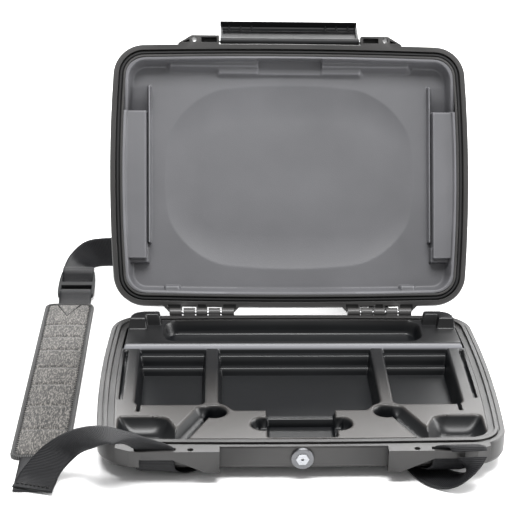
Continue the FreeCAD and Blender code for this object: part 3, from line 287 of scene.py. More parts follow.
@dataclass(frozen=True)
class PressedSheet:
    """A satin pressed sheet with painted light: painted shade in its hollows, a painted glare on
    its raised front that fades into the lid's painted shadow towards the back, and a painted
    highlight along its ridge.
    """

    name: str
    # Painted shade: the sheet's black made darker; it fills the hollows and the back.
    hollow_shade: Colour
    # Painted glare: the paler colour of the raised front, where the key light falls.
    plateau: Colour
    # Painted highlight: the pale colour along the ridge's rounded face.
    ridge_highlight: Colour
    roughness: tuple[float, float] = (0.32, 0.42)
    specular: float = 0.4
    # Heights, in metres, over which the painted glare comes in.
    rise: tuple[float, float] = (0.0245, 0.0264)
    # Places along, in metres, over which the painted glare fades into the lid's painted shadow
    # towards the back.
    glare_fade: tuple[float, float] = (-0.058, 0.015)
    # How much of the painted glare is left at the back.
    faintest: float = 0.1
    # Places along, in metres, where the painted ridge highlight starts and where it ends.
    ridge_front: tuple[float, float] = (0.0492, 0.0502)
    ridge_back: tuple[float, float] = (0.0518, 0.0545)
    clouds: float = 20.0
    cloud_gain: float = 1.5
    grain: float = 1600.0
    grain_depth: float = 0.00003
    grain_strength: float = 0.35

    def material(self) -> bpy.types.Material:
        """Builds the material, whose painted shade, glare and highlight go by the height and by
        the place along.

        Returns:
            The material.
        """
        graph = Graph(self.name)
        where = graph.place(Space.OBJECT)
        split = graph.add("ShaderNodeSeparateXYZ", {0: where})
        along = split.outputs["Y"]
        # Painted glare on the raised parts, fading towards the back into the lid's painted shadow.
        raised = graph.span(split.outputs["Z"], 0.0, 1.0, *self.rise)
        ahead = graph.span(along, 1.0, self.faintest, *self.glare_fade)
        # Where the painted ridge highlight lies along the sheet.
        before = graph.span(along, 0.0, 1.0, *self.ridge_front)
        behind = graph.span(along, 1.0, 0.0, *self.ridge_back)
        cloudy = graph.noise(where, self.clouds, 4.0)
        lighter = tuple(part * self.cloud_gain for part in self.hollow_shade)
        # The painted shade, varied at random in tone.
        body = graph.ramp(cloudy, [(0.3, self.hollow_shade), (0.75, lighter)])
        # The painted glare's colour.
        flat = graph.even(cloudy, self.plateau)
        # The painted ridge highlight's colour.
        face = graph.even(cloudy, self.ridge_highlight)
        # Paints the glare over the painted shade, on the raised front only.
        body = graph.blend(graph.product(raised, ahead), body, flat)
        # The painted ridge highlight only where the sheet is raised.
        behind = graph.product(behind, raised)
        speckle = graph.noise(where, self.grain, 2.0)
        return graph.shade({
            "Base Color": graph.blend(graph.product(before, behind), body, face),
            "Roughness": graph.span(cloudy, *self.roughness, *NOISE_RANGE),
            "Normal": graph.bump(speckle, self.grain_strength, self.grain_depth),
            "Specular IOR Level": self.specular,
        })


@dataclass(frozen=True)
class BrushedMetal:
    """Turned or brushed metal with fine lines."""

    name: str
    colour: Colour
    roughness: float
    stretch: Spot = (1.0, 30.0, 30.0)
    dulling: float = 0.72
    spread: tuple[float, float] = (0.8, 1.25)
    lines: float = 160.0
    line_depth: float = 0.00003
    line_strength: float = 0.2
    edge: float = 0.0003

    def material(self) -> bpy.types.Material:
        """Builds the material.

        Returns:
            The material.
        """
        graph = Graph(self.name)
        where = graph.place(Space.OBJECT, self.stretch)
        lines = graph.noise(where, self.lines, 4.0)
        dull = tuple(part * self.dulling for part in self.colour)
        low, high = (self.roughness * share for share in self.spread)
        return graph.shade({
            "Base Color": graph.ramp(lines, [(0.3, dull), (0.7, self.colour)]),
            "Roughness": graph.span(lines, low, high, *NOISE_RANGE),
            "Normal": graph.bump(
                lines, self.line_strength, self.line_depth, graph.rounded(self.edge)
            ),
            "Metallic": 1.0,
        })


@dataclass(frozen=True)
class WovenWebbing:
    """Flat woven webbing: ribs across it, a rolled edge and a little dust on its threads."""

    name: str
    dark: Colour
    light: Colour
    rib: float = 0.0013
    thread: float = 0.7
    depth: float = 0.00018
    strength: float = 0.7
    clouds: float = 40.0
    dust: float = 1.8

    def material(self) -> bpy.types.Material:
        """Builds the material.

        Returns:
            The material.
        """
        graph = Graph(self.name)
        ribs = self.waves(graph, "Y", self.rib, 1.2, 1.0)
        threads = self.waves(graph, "X", self.rib * self.thread, 0.4, 2.0)
        weave = {0: ribs, 1: threads, 2: ribs}
        woven = graph.add("ShaderNodeMath", weave, operation="MULTIPLY_ADD").outputs["Value"]
        cloudy = graph.noise(graph.place(Space.OBJECT), self.clouds, 5.0)
        shade = graph.ramp(woven, [(0.2, self.dark), (1.5, self.light)])
        dusty = tuple(part * self.dust for part in self.light)
        worn = graph.ramp(woven, [(0.0, self.dark), (1.0, dusty)])
        return graph.shade({
            "Base Color": graph.blend(cloudy, shade, worn),
            "Normal": graph.bump(woven, self.strength, self.depth),
            "Roughness": 0.5, "Specular IOR Level": 0.22,
            "Sheen Weight": 0.02, "Sheen Roughness": 0.4,
        })

    def waves(
        self, graph: Graph, axis: str, pitch: float, wander: float, detail: float
    ) -> Socket:
        """Adds bands across one axis of the cloth.

        Args:
            graph: The material's nodes.
            axis: The axis.
            pitch: From one band to the next, in metres.
            wander: How far the bands wander.
            detail: How finely they do.

        Returns:
            The socket with the bands' value.
        """
        inputs = {
            "Vector": graph.place(Space.UV), "Scale": 0.32 / pitch, "Distortion": wander,
            "Detail": detail,
        }
        bands = graph.add("ShaderNodeTexWave", inputs, wave_type="BANDS", bands_direction=axis)
        return bands.outputs["Fac"]


@dataclass(frozen=True)
class FlockedFelt:
    """Grey felt with pale and dark fibres that run along the pad."""

    name: str
    dark: Colour
    middle: Colour
    pale: Colour
    fibre: Spot = (1.0, 0.28, 1.0)
    fibres: float = 1050.0
    clumps: float = 620.0
    depth: float = 0.0004
    strength: float = 0.9

    def material(self) -> bpy.types.Material:
        """Builds the material.

        Returns:
            The material.
        """
        graph = Graph(self.name)
        where = graph.place(Space.OBJECT, self.fibre)
        fibres = graph.noise(where, self.fibres, 3.0)
        clumps = graph.noise(where, self.clumps, 4.0)
        fine = graph.ramp(fibres, [(0.40, self.dark), (0.5, self.middle), (0.6, self.pale)])
        broad = graph.ramp(clumps, [(0.38, self.dark), (0.6, self.pale)])
        share = graph.span(clumps, 0.05, 0.35, *NOISE_RANGE)
        return graph.shade({
            "Base Color": graph.blend(share, fine, broad),
            "Normal": graph.bump(fibres, self.strength, self.depth),
            "Roughness": 0.92, "Sheen Weight": 0.3,
        })


@dataclass(frozen=True)
class PlainFloor:
    """The pale floor under the case."""

    name: str
    colour: Colour
    dimmest: float = 0.992

    def material(self) -> bpy.types.Material:
        """Builds the material.

        Returns:
            The material.
        """
        graph = Graph(self.name)
        cloudy = graph.noise(graph.place(Space.OBJECT), 2.0, 2.0)
        faint = tuple(part * self.dimmest for part in self.colour)
        return graph.shade({
            "Base Color": graph.ramp(cloudy, [(0.0, faint), (1.0, self.colour)]),
            "Roughness": 0.85, "Specular IOR Level": 0.2,
        })


Finish = MouldedPlastic | PressedSheet | BrushedMetal | WovenWebbing | FlockedFelt | PlainFloor


@dataclass(frozen=True)
class Palette:
    """Every finish of the case."""

    shell: MouldedPlastic = MouldedPlastic(
        "shell_plastic", (0.011, 0.0106, 0.0104), (0.017, 0.0163, 0.016), (0.36, 0.46),
        grain=1400.0, grain_depth=0.00005, specular=0.42,
    )
    # The tray's colours are painted light: painted shade, a painted glare on the raised front and
    # a painted highlight on the ridge.
    tray: PressedSheet = PressedSheet(
        "tray_sheet", (0.001, 0.0014, 0.002), (0.034, 0.031, 0.029), (0.2, 0.202, 0.216),
    )
    liner: MouldedPlastic = MouldedPlastic(
        "liner_sheet", (0.074, 0.074, 0.0795), (0.094, 0.094, 0.101), (0.5, 0.62),
        grain=1500.0, grain_depth=0.00012, grain_strength=0.8, edge=0.001,
    )
    latch: MouldedPlastic = MouldedPlastic(
        "latch_plastic", (0.004, 0.0042, 0.0046), (0.008, 0.0082, 0.0088), (0.44, 0.54),
        grain=1600.0, grain_depth=0.00003, grain_strength=0.3, edge_light=0.12, specular=0.2,
    )
    seal: MouldedPlastic = MouldedPlastic(
        "seal_rubber", (0.008, 0.008, 0.0085), (0.014, 0.014, 0.0145), (0.6, 0.75),
        grain=2000.0, grain_depth=0.00003, edge_light=0.05, specular=0.35,
    )
    buckle: MouldedPlastic = MouldedPlastic(
        "buckle_plastic", (0.007, 0.0072, 0.0078), (0.013, 0.0132, 0.014), (0.5, 0.6),
        grain=1800.0, grain_depth=0.00002, grain_strength=0.25, edge_light=0.1, specular=0.15,
    )
    backing: MouldedPlastic = MouldedPlastic(
        "pad_backing", (0.016, 0.016, 0.017), (0.026, 0.026, 0.027), (0.7, 0.85),
        grain=500.0, grain_depth=0.0003, grain_strength=0.9, edge_light=0.0, specular=0.25,
    )
    film: MouldedPlastic = MouldedPlastic(
        "valve_film", (0.68, 0.68, 0.67), (0.8, 0.8, 0.79), (0.55, 0.65),
        grain=2500.0, edge_light=0.0,
    )
    valve: BrushedMetal = BrushedMetal("valve_metal", (0.16, 0.163, 0.17), 0.34)
    knob: BrushedMetal = BrushedMetal("valve_knob_metal", (0.42, 0.43, 0.45), 0.28)
    steel: BrushedMetal = BrushedMetal("pin_steel", (0.55, 0.55, 0.56), 0.3)
    webbing: WovenWebbing = WovenWebbing(
        "webbing_weave", (0.0016, 0.0017, 0.002), (0.009, 0.0092, 0.0106)
    )
    binding: WovenWebbing = WovenWebbing(
        "pad_binding_tape", (0.006, 0.006, 0.006), (0.055, 0.055, 0.054), rib=0.0016
    )
    felt: FlockedFelt = FlockedFelt(
        "pad_felt", (0.003, 0.0028, 0.0026), (0.014, 0.013, 0.012), (0.15, 0.14, 0.128)
    )
    thread: WovenWebbing = WovenWebbing(
        "seam_thread", (0.006, 0.006, 0.006), (0.03, 0.03, 0.03), rib=0.0006
    )
    floor: PlainFloor = PlainFloor("pale_floor", (0.93, 0.93, 0.93))


class Dresser:
    """Gives CAD nodes and new pieces their materials, each built once."""

    def __init__(self, nodes: dict[str, Piece]) -> None:
        """Keeps the frame's nodes.

        Args:
            nodes: The CAD nodes by name.
        """
        self.nodes = nodes
        self.built: dict[str, bpy.types.Material] = {}

    def finish(self, kind: Finish) -> bpy.types.Material:
        """Builds a finish's material once.

        Args:
            kind: The finish.

        Returns:
            Its material.
        """
        if kind.name not in self.built:
            self.built[kind.name] = kind.material()
        return self.built[kind.name]

    def dress(self, piece: Piece, kind: Finish) -> None:
        """Puts one finish on a piece."""
        piece.data.materials.clear()
        piece.data.materials.append(self.finish(kind))

    def dress_node(self, name: str, kind: Finish) -> None:
        """Puts one finish on a CAD node that stays in view.

        Args:
            name: The node.
            kind: Its finish.
        """
        self.dress(self.nodes[name], kind)
        LOG.info("dressed node %s as %s", name, kind.name)


def new_piece(
    name: str, points: list[Spot], faces: list[tuple[int, ...]], smooth: bool = True
) -> Piece:
    """Makes an object from points and faces.

    Args:
        name: The piece's name.
        points: Its vertices in metres.
        faces: Its faces.
        smooth: Whether the faces are shaded smooth.

    Returns:
        The new object.
    """
    mesh = bpy.data.meshes.new(name)
    mesh.from_pydata(points, [], faces)
    mesh.validate()
    if smooth:
        mesh.shade_smooth()
    piece = bpy.data.objects.new(name, mesh)
    bpy.context.scene.collection.objects.link(piece)
    return piece


def curve_through(spots: np.ndarray, steps: int) -> np.ndarray:
    """Samples a smooth curve through spots.

    Args:
        spots: The spots, one a row.
        steps: Samples in each stretch.

    Returns:
        The samples, one a row.
    """
    padded = np.vstack([2 * spots[0] - spots[1], spots, 2 * spots[-1] - spots[-2]])
    samples = []
    for number in range(len(spots) - 1):
        a, b, c, d = padded[number:number + 4]
        for step in range(steps):
            t = step / steps
            samples.append(
                0.5 * ((2 * b) + (c - a) * t + (2 * a - 5 * b + 4 * c - d) * t ** 2
                       + (3 * b - a - 3 * c + d) * t ** 3)
            )
    samples.append(spots[-1])
    return np.array(samples)


def run_lengths(path: np.ndarray) -> np.ndarray:
    """Measures how far along a path each of its points lies."""
    steps = np.linalg.norm(np.diff(path, axis=0), axis=1)
    return np.concatenate([[0.0], np.cumsum(steps)])


def tube_faces(rings: int, around: int, first: int = 0) -> list[tuple[int, ...]]:
    """Joins rings of points into a tube with flat ends.

    Args:
        rings: How many rings there are.
        around: The points in each.
        first: The number of the first point.

    Returns:
        The faces.
    """
    faces = []
    for ring in range(rings - 1):
        low = first + ring * around
        high = low + around
        for side in range(around):
            after = (side + 1) % around
            faces.append((low + side, low + after, high + after, high + side))
    last = first + (rings - 1) * around
    faces.append(tuple(range(first, first + around))[::-1])
    faces.append(tuple(range(last, last + around)))
    return faces


def lay_weave(piece: Piece, flat: list[tuple[float, float]]) -> None:
    """Gives a piece the layer that its weave follows.

    Args:
        piece: The piece.
        flat: Where each of its points lies on the flat cloth, in metres.
    """
    layer = piece.data.uv_layers.new(name="weave")
    for loop in piece.data.loops:
        layer.data[loop.index].uv = flat[loop.vertex_index]


# Half width, half depth and base height that the webbing routes are shares of.
ROUTE_SCALE = np.array([0.156, 0.1145, 0.027])


@dataclass
class Ribbon:
    """A length of webbing along stations of a left and a right edge."""

    name: str
    node: str
    stations: tuple[Station, ...]
    thickness: float = 0.0016
    steps: int = 10
    columns: int = 12
    edge_lift: float = 0.45
    next_lift: float = 0.92

    def build(self, dresser: Dresser, finish: WovenWebbing) -> None:
        """Builds the webbing in place of its CAD node.

        Args:
            dresser: Where finishes come from.
            finish: The webbing's finish.
        """
        left = curve_through(np.array([s[0] for s in self.stations]) * ROUTE_SCALE, self.steps)
        right = curve_through(np.array([s[1] for s in self.stations]) * ROUTE_SCALE, self.steps)
        middle = (left + right) / 2
        ahead = np.gradient(middle, axis=0)
        normal = np.cross(right - left, ahead)
        normal /= np.linalg.norm(normal, axis=1)[:, None]
        travelled = run_lengths(middle)
        profile = self.profile()
        points, flat = [], []
        for row in range(len(middle)):
            across = right[row] - left[row]
            for share, lift in profile:
                spot = left[row] + across * share + normal[row] * lift
                points.append(tuple(spot))
                flat.append((share * np.linalg.norm(across), travelled[row]))
        piece = new_piece(self.name, points, tube_faces(len(middle), len(profile)))
        lay_weave(piece, flat)
        dresser.dress(piece, finish)
        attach(piece, "base")
        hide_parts(self.node)
        LOG.info("made %s, %.0f mm long", self.name, travelled[-1] * 1000)

    def profile(self) -> list[tuple[float, float]]:
        """Gives the webbing's section.

        Returns:
            Shares across and lifts along the normal, once round.
        """
        upper = []
        for number in range(self.columns + 1):
            share = number / self.columns
            edge = min(share, 1 - share) * self.columns
            full = self.edge_lift if edge == 0 else self.next_lift if edge == 1 else 1.0
            upper.append((share, self.thickness / 2 * full))
        return upper + [(share, -lift) for share, lift in reversed(upper)]


LEFT_ROUTE: tuple[Station, ...] = (
    ((-1.3571, -1.1197, 0.1074), (-1.1679, -1.1948, 0.1074)),
    ((-1.3429, -1.0568, 0.1704), (-1.1571, -1.1092, 0.1556)),
    ((-1.3109, -0.9869, 0.3704), (-1.1314, -1.0218, 0.3333)),
    ((-1.2212, -0.8908, 0.8148), (-1.0577, -0.9869, 0.7407)),
    ((-1.0897, -0.8996, 1.3148), (-0.9840, -1.1004, 1.2222)),
    ((-0.9519, -0.9738, 1.6148), (-0.9103, -1.1965, 1.5926)),
    ((-0.8141, -1.0393, 1.5741), (-0.8814, -1.2052, 1.5926)),
    ((-0.6987, -1.0358, 1.3148), (-0.8397, -1.1004, 1.3630)),
    ((-0.6218, -1.0310, 1.1111), (-0.8045, -1.0410, 1.1111)),
    ((-0.6071, -1.0290, 0.9630), (-0.7904, -1.0290, 0.9630)),
    ((-0.6071, -1.0280, 0.5185), (-0.7904, -1.0280, 0.5185)),
    ((-0.5929, -1.0044, 0.2741), (-0.7724, -0.9825, 0.2815)),
    ((-0.5449, -0.9520, 0.0963), (-0.6955, -0.8210, 0.0704)),
    ((-0.4231, -0.8297, 0.0481), (-0.5385, -0.6332, 0.0481)),
    ((-0.3205, -0.7205, 0.0481), (-0.4359, -0.5240, 0.0481)),
)
MAIN_ROUTE: tuple[Station, ...] = (
    ((-1.3301, 1.8690, 0.1333), (-1.1474, 1.8690, 0.1333)),
    ((-1.3301, 1.9300, 0.1667), (-1.1474, 1.9300, 0.1667)),
    ((-1.3301, 1.9780, 0.2222), (-1.1474, 1.9780, 0.2222)),
    ((-1.3301, 2.0200, 0.3407), (-1.1474, 2.0200, 0.3407)),
    ((-1.3301, 2.0650, 0.5148), (-1.1474, 2.0650, 0.5148)),
    ((-1.3301, 2.1050, 0.5519), (-1.1474, 2.1050, 0.5519)),
    ((-1.3301, 2.1450, 0.5519), (-1.1474, 2.1450, 0.5519)),
    ((-1.3315, 2.1900, 0.4700), (-1.1500, 2.1870, 0.4300)),
    ((-1.3333, 2.2358, 0.4300), (-1.1538, 2.2183, 0.3100)),
    ((-1.3013, 2.3755, 0.6481), (-1.1667, 2.3493, 0.1481)),
    ((-1.2179, 2.4541, 0.9815), (-1.1346, 2.4410, 0.0593)),
    ((-1.1026, 2.4716, 1.0963), (-1.0769, 2.4716, 0.0296)),
    ((-0.8974, 2.4716, 1.1037), (-0.8974, 2.4716, 0.0296)),
    ((-0.6410, 2.4716, 1.1037), (-0.6410, 2.4716, 0.0296)),
    ((-0.3500, 2.4541, 1.1037), (-0.3500, 2.4541, 0.0296)),
    ((-0.0600, 2.3900, 1.1037), (-0.0600, 2.3900, 0.0296)),
    ((0.1900, 2.2500, 1.1037), (0.1900, 2.2500, 0.0296)),
    ((0.3700, 2.0300, 1.1037), (0.3700, 2.0300, 0.0296)),
    ((0.4700, 1.7800, 1.0963), (0.4700, 1.7800, 0.0296)),
    ((0.5200, 1.5300, 0.9500), (0.4750, 1.5300, 0.0519)),
    ((0.5700, 1.2900, 0.6500), (0.4500, 1.2900, 0.0519)),
    ((0.6050, 1.0500, 0.2400), (0.4350, 1.0500, 0.0481)),
    ((0.6200, 0.8300, 0.0519), (0.4370, 0.8300, 0.0481)),
    ((0.6250, 0.4500, 0.0481), (0.4420, 0.4500, 0.0481)),
    ((0.6150, 0.0800, 0.0481), (0.4320, 0.0700, 0.0481)),
    ((0.6050, -0.2700, 0.0481), (0.4230, -0.3100, 0.0481)),
    ((0.6100, -0.5600, 0.0481), (0.4350, -0.6500, 0.0481)),
    ((0.6400, -0.7550, 0.0481), (0.4960, -0.8950, 0.0481)),
    ((0.6795, -0.8865, 0.0481), (0.5641, -1.0830, 0.0481)),
    ((0.7468, -0.9607, 0.0593), (0.6442, -1.1703, 0.0778)),
    ((0.7756, -1.0044, 0.1852), (0.7083, -1.2096, 0.2407)),
    ((0.7692, -1.0437, 0.3889), (0.7724, -1.2052, 0.5185)),
    ((0.7468, -1.0812, 0.6296), (0.8237, -1.1703, 0.7778)),
    ((0.7147, -1.0890, 0.8519), (0.8526, -1.1310, 0.9815)),
)
TAIL_ROUTE: tuple[Station, ...] = (
    ((0.6920, -1.0830, 1.0100), (0.8545, -1.1030, 1.0900)),
    ((0.6763, -1.0700, 1.1185), (0.8490, -1.0780, 1.1600)),
    ((0.6378, -1.0480, 1.1185), (0.8205, -1.0480, 1.1400)),
    ((0.6083, -1.0320, 1.0000), (0.7923, -1.0320, 1.0000)),
    ((0.6071, -1.0320, 0.5185), (0.7904, -1.0320, 0.5185)),
    ((0.5769, -0.9956, 0.2815), (0.7564, -1.0087, 0.3185)),
    ((0.5256, -0.8865, 0.1630), (0.6923, -0.9476, 0.1926)),
)
TAB_ROUTE: tuple[Station, ...] = (
    ((-1.3520, -0.7400, 0.0780), (-1.1735, -0.7400, 0.0780)),
    ((-1.3530, -0.8200, 0.0560), (-1.1725, -0.8200, 0.0560)),
    ((-1.3540, -0.9400, 0.0407), (-1.1717, -0.9400, 0.0407)),
    ((-1.3545, -1.0600, 0.0407), (-1.1712, -1.0600, 0.0407)),
    ((-1.3545, -1.1467, 0.0407), (-1.1712, -1.1467, 0.0407)),
)
LEAD_ROUTE: tuple[Station, ...] = (
    ((-1.3301, 1.6450, 0.0900), (-1.1474, 1.6450, 0.0900)),
    ((-1.3301, 1.7000, 0.1500), (-1.1474, 1.7000, 0.1500)),
    ((-1.3301, 1.7400, 0.2350), (-1.1474, 1.7400, 0.2350)),
    ((-1.3301, 1.7750, 0.3150), (-1.1474, 1.7750, 0.3150)),
    ((-1.3301, 1.8080, 0.3350), (-1.1474, 1.8080, 0.3350)),
    ((-1.3301, 1.8340, 0.2750), (-1.1474, 1.8340, 0.2750)),
    ((-1.3301, 1.8330, 0.1700), (-1.1474, 1.8330, 0.1700)),
    ((-1.3301, 1.8000, 0.0800), (-1.1474, 1.8000, 0.0800)),
    ((-1.3301, 1.7400, 0.0450), (-1.1474, 1.7400, 0.0450)),
    ((-1.3301, 1.6850, 0.0400), (-1.1474, 1.6850, 0.0400)),
)


def ring_round(half: tuple[float, float], corner: float, step: float) -> np.ndarray:
    """Walks once round a rounded rectangle.

    Args:
        half: Half its width and half its length.
        corner: The radius of its corners.
        step: The most between two points.

    Returns:
        Rows of a point's x and y and its outward normal's x and y.
    """
    rows = []
    turns = max(5, math.ceil(corner * math.pi / 2 / step))
    for quarter in range(4):
        centre_x = (half[0] - corner) * (1 if quarter in (0, 3) else -1)
        centre_y = (half[1] - corner) * (1 if quarter in (0, 1) else -1)
        for turn in range(turns + 1):
            angle = (quarter + turn / turns) * math.pi / 2
            out_x, out_y = math.cos(angle), math.sin(angle)
            rows.append((centre_x + corner * out_x, centre_y + corner * out_y, out_x, out_y))
        side = 2 * (half[1] - corner) if quarter % 2 else 2 * (half[0] - corner)
        along_x, along_y = -out_y, out_x
        pieces = math.ceil(side / step)
        last = rows[-1]
        for piece in range(1, pieces):
            run = side * piece / pieces
            rows.append((last[0] + along_x * run, last[1] + along_y * run, last[2], last[3]))
    return np.array(rows)


def swept_ring(
    name: str, path: np.ndarray, centre: tuple[float, float], section: list[tuple[float, float]]
) -> Piece:
    """Sweeps a closed section once round a path, with a layer for its weave.

    Args:
        name: The piece's name.
        path: Rows from ring_round.
        centre: The middle of the path.
        section: Offsets outward from the path, and heights, in metres.

    Returns:
        The ring.
    """
    points, flat = [], []
    travelled = run_lengths(path[:, :2])
    girth = run_lengths(np.array(section))
    for number, (x, y, out_x, out_y) in enumerate(path):
        for place, (offset, height) in enumerate(section):
            points.append((centre[0] + x + out_x * offset, centre[1] + y + out_y * offset, height))
            flat.append((girth[place], travelled[number]))
    ring, count = len(section), len(path)
    faces = []
    for number in range(count):
        here, there = number * ring, (number + 1) % count * ring
        for place in range(ring):
            after = (place + 1) % ring
            faces.append((here + place, there + place, there + after, here + after))
    piece = new_piece(name, points, faces)
    lay_weave(piece, flat)
    return piece


def thread_marks(
    name: str, spots: np.ndarray, ways: np.ndarray, length: float, radius: float
) -> Piece:
    """Makes a row of stitches, each a short tapered bead of thread.

    Args:
        name: The piece's name.
        spots: The middle of each stitch.
        ways: The direction of each stitch.
        length: The length of one.
        radius: Half its thickness.

    Returns:
        The stitches as one piece.
    """
    points, faces = [], []
    sides = 6
    bead = ((-0.5, 0.35), (-0.32, 0.85), (0.0, 1.0), (0.32, 0.85), (0.5, 0.35))
    for spot, way in zip(spots, ways):
        along = way / np.linalg.norm(way)
        across = np.cross(along, (0.0, 0.0, 1.0))
        across /= np.linalg.norm(across)
        upward = np.cross(across, along)
        faces += tube_faces(len(bead), sides, len(points))
        for share, swell in bead:
            for side in range(sides):
                angle = 2 * math.pi * side / sides
                points.append(tuple(
                    spot + along * share * length
                    + (across * math.cos(angle) + upward * math.sin(angle)) * radius * swell
                ))
    return new_piece(name, points, faces)


def puffed(
    piece: Piece, held: list[int], pressure: float, most: float, frames: int = 20
) -> None:
    """Swells a closed cloth shape between the points that its seams hold.

    Args:
        piece: The shape.
        held: The points that stay.
        pressure: The pressure inside it.
        most: How far a point may move, in metres.
        frames: How many frames it swells for.
    """
    scene = bpy.context.scene
    group = piece.vertex_groups.new(name="held")
    group.add(held, 1.0, "REPLACE")
    cloth = piece.modifiers.new("puff", "CLOTH")
    cloth.settings.vertex_group_mass = "held"
    cloth.settings.use_pressure = True
    cloth.settings.uniform_pressure_force = pressure
    cloth.settings.effector_weights.gravity = 0.0
    cloth.collision_settings.use_collision = False
    cloth.point_cache.frame_start = 1
    cloth.point_cache.frame_end = frames
    for number in range(1, frames + 1):
        scene.frame_set(number)
    solved = piece.evaluated_get(bpy.context.evaluated_depsgraph_get()).to_mesh()
    rest = np.array([vertex.co for vertex in piece.data.vertices])
    moved = np.array([vertex.co for vertex in solved.vertices]) - rest
    reach = np.linalg.norm(moved, axis=1)
    LOG.info("%s swelled by up to %.2f mm before the cap", piece.name, reach.max() * 1000)
    share = most / np.maximum(reach, most)
    placed = rest + moved * share[:, None]
    piece.modifiers.remove(cloth)
    piece.vertex_groups.remove(group)
    piece.data.vertices.foreach_set("co", placed.ravel())
    piece.data.update()
    scene.frame_set(1)


@dataclass
class ShoulderPad:
    """The pad: quilted felt, a grey tape round its edge, black seam thread and a backing."""

    width: float = 0.044
    length: float = 0.277
    centre: tuple[float, float] = (-0.197, 0.0525)
    corner: float = 0.0075
    tape: float = 0.0022
    band: float = 0.0016
    quilts: tuple[float, ...] = (0.15, 0.29, 0.42, 0.53, 0.65, 0.74, 0.83)
    floor: float = 0.0011
    rim: float = 0.0029
    crown: float = 0.0014
    dip: float = 0.0009
    cell: float = 0.0016
    pitch: float = 0.0032
    end_roll: float = 0.012
    channel: float = 0.0014
    pressure: float = 4.0
    most_swell: float = 0.0012
    edge_step: float = 0.003
    edge_stitch: float = 0.0019
    edge_thread: float = 0.00038
    end_seam: Profile = ((-0.2078, 0.1862), (-0.1974, 0.1612), (-0.1866, 0.1862))
    end_stitch: float = 0.0021
    end_thread: float = 0.00055
    rib_pitch: float = 0.0016
    lining_top: float = 0.001
    lining_lows: tuple[float, ...] = (0.0005, 0.0001, 0.0001, 0.0005)

    def felt(self, dresser: Dresser, finish: FlockedFelt) -> None:
        """Builds the quilted felt and swells it between its seams.

        Args:
            dresser: Where finishes come from.
            finish: The felt's finish.
        """
        inset = self.tape + self.band * 0.6
        half_x, half_y = self.width / 2 - inset, self.length / 2 - inset
        corner = self.corner - inset
        rows, columns = round(2 * half_y / self.cell), round(2 * half_x / self.cell)
        seams = [(share - 0.5) * self.length for share in self.quilts]
        points, held = [], []
        for row in range(rows + 1):
            y = -half_y + 2 * half_y * row / rows
            from_end = half_y - abs(y)
            pulled = corner - math.sqrt(max(0.0, corner ** 2 - max(0.0, corner - from_end) ** 2))
            lying = min(1.0, from_end / self.end_roll)
            near = min(abs(y - seam) for seam in seams)
            sewn = math.exp(-((near / self.channel) ** 2))
            for column in range(columns + 1):
                across = 2 * column / columns - 1
                swell = (1 - across ** 4) * math.sqrt(lying)
                height = self.rim + self.crown * swell - self.dip * sewn * min(1.0, swell * 1.6)
                points.append(((half_x - pulled) * across, y, height))
                if abs(across) == 1 or row in (0, rows) or near < self.cell * 0.55:
                    held.append(len(points) - 1)
        wide = columns + 1
        top = len(points)
        points += [(x, y, self.floor) for x, y, _ in points]
        held += range(top, 2 * top)
        faces = []
        for row in range(rows):
            for column in range(columns):
                a = row * wide + column
                quad = (a, a + 1, a + wide + 1, a + wide)
                faces.append(quad)
                faces.append(tuple(top + point for point in quad[::-1]))
        border = list(range(wide)) + [row * wide + columns for row in range(1, rows + 1)]
        border += [rows * wide + column for column in range(columns - 1, -1, -1)]
        border += [row * wide for row in range(rows - 1, 0, -1)]
        for here, there in zip(border, border[1:] + border[:1]):
            faces.append((there, here, top + here, top + there))
        placed = [(x + self.centre[0], y + self.centre[1], z) for x, y, z in points]
        piece = new_piece("pad_felt", placed, faces)
        puffed(piece, held, self.pressure, self.most_swell)
        finer = piece.modifiers.new("finer", "SUBSURF")
        finer.levels = finer.render_levels = 1
        dresser.dress(piece, finish)
        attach(piece, "base")
        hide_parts("pad_face")
        LOG.info("made the pad's felt with %d sewn channels", len(self.quilts))

    def edge(self, dresser: Dresser, palette: Palette) -> None:
        """Builds the tape round the edge, the seam's black band and its stitches.

        Args:
            dresser: Where finishes come from.
            palette: The finishes.
        """
        path = ring_round((self.width / 2, self.length / 2), self.corner, self.edge_step)
        tape = self.tape
        section = [
            (-0.0001, 0.0008), (0.0, 0.0019), (-0.0003, 0.0029), (-0.0008, 0.0034),
            (-0.0013, 0.0033), (-0.0017, 0.0035), (-tape, 0.0034), (-tape - 0.0004, 0.0029),
            (-tape - 0.0004, 0.0006), (-tape, 0.0001), (-0.0012, 0.0001), (-0.0005, 0.0003),
        ]
        binding = swept_ring("pad_tape", path, self.centre, section)
        dresser.dress(binding, palette.binding)
        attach(binding, "base")
        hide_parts("pad_binding")
        inner = -tape - self.band
        section = [
            (-tape + 0.0003, 0.0025), (-tape + 0.0002, 0.0032), (-tape - 0.0004, 0.0035),
            (inner + 0.0006, 0.0035), (inner, 0.0031), (inner, 0.0022), (-tape - 0.0006, 0.0020),
        ]
        band = swept_ring("pad_seam_band", path, self.centre, section)
        dresser.dress(band, palette.thread)
        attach(band, "base")
        walk = self.walk(path, inner - 0.0002)
        spots = np.column_stack([walk[:, :2], np.full(len(walk), self.rim + 0.0004)])
        ways = np.column_stack([-walk[:, 2:], np.full(len(walk), 0.15)])
        teeth = thread_marks(
            "pad_edge_stitches", spots, ways, self.edge_stitch, self.edge_thread
        )
        dresser.dress(teeth, palette.thread)
        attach(teeth, "base")
        LOG.info("made the pad's tape and %d edge stitches", len(spots))

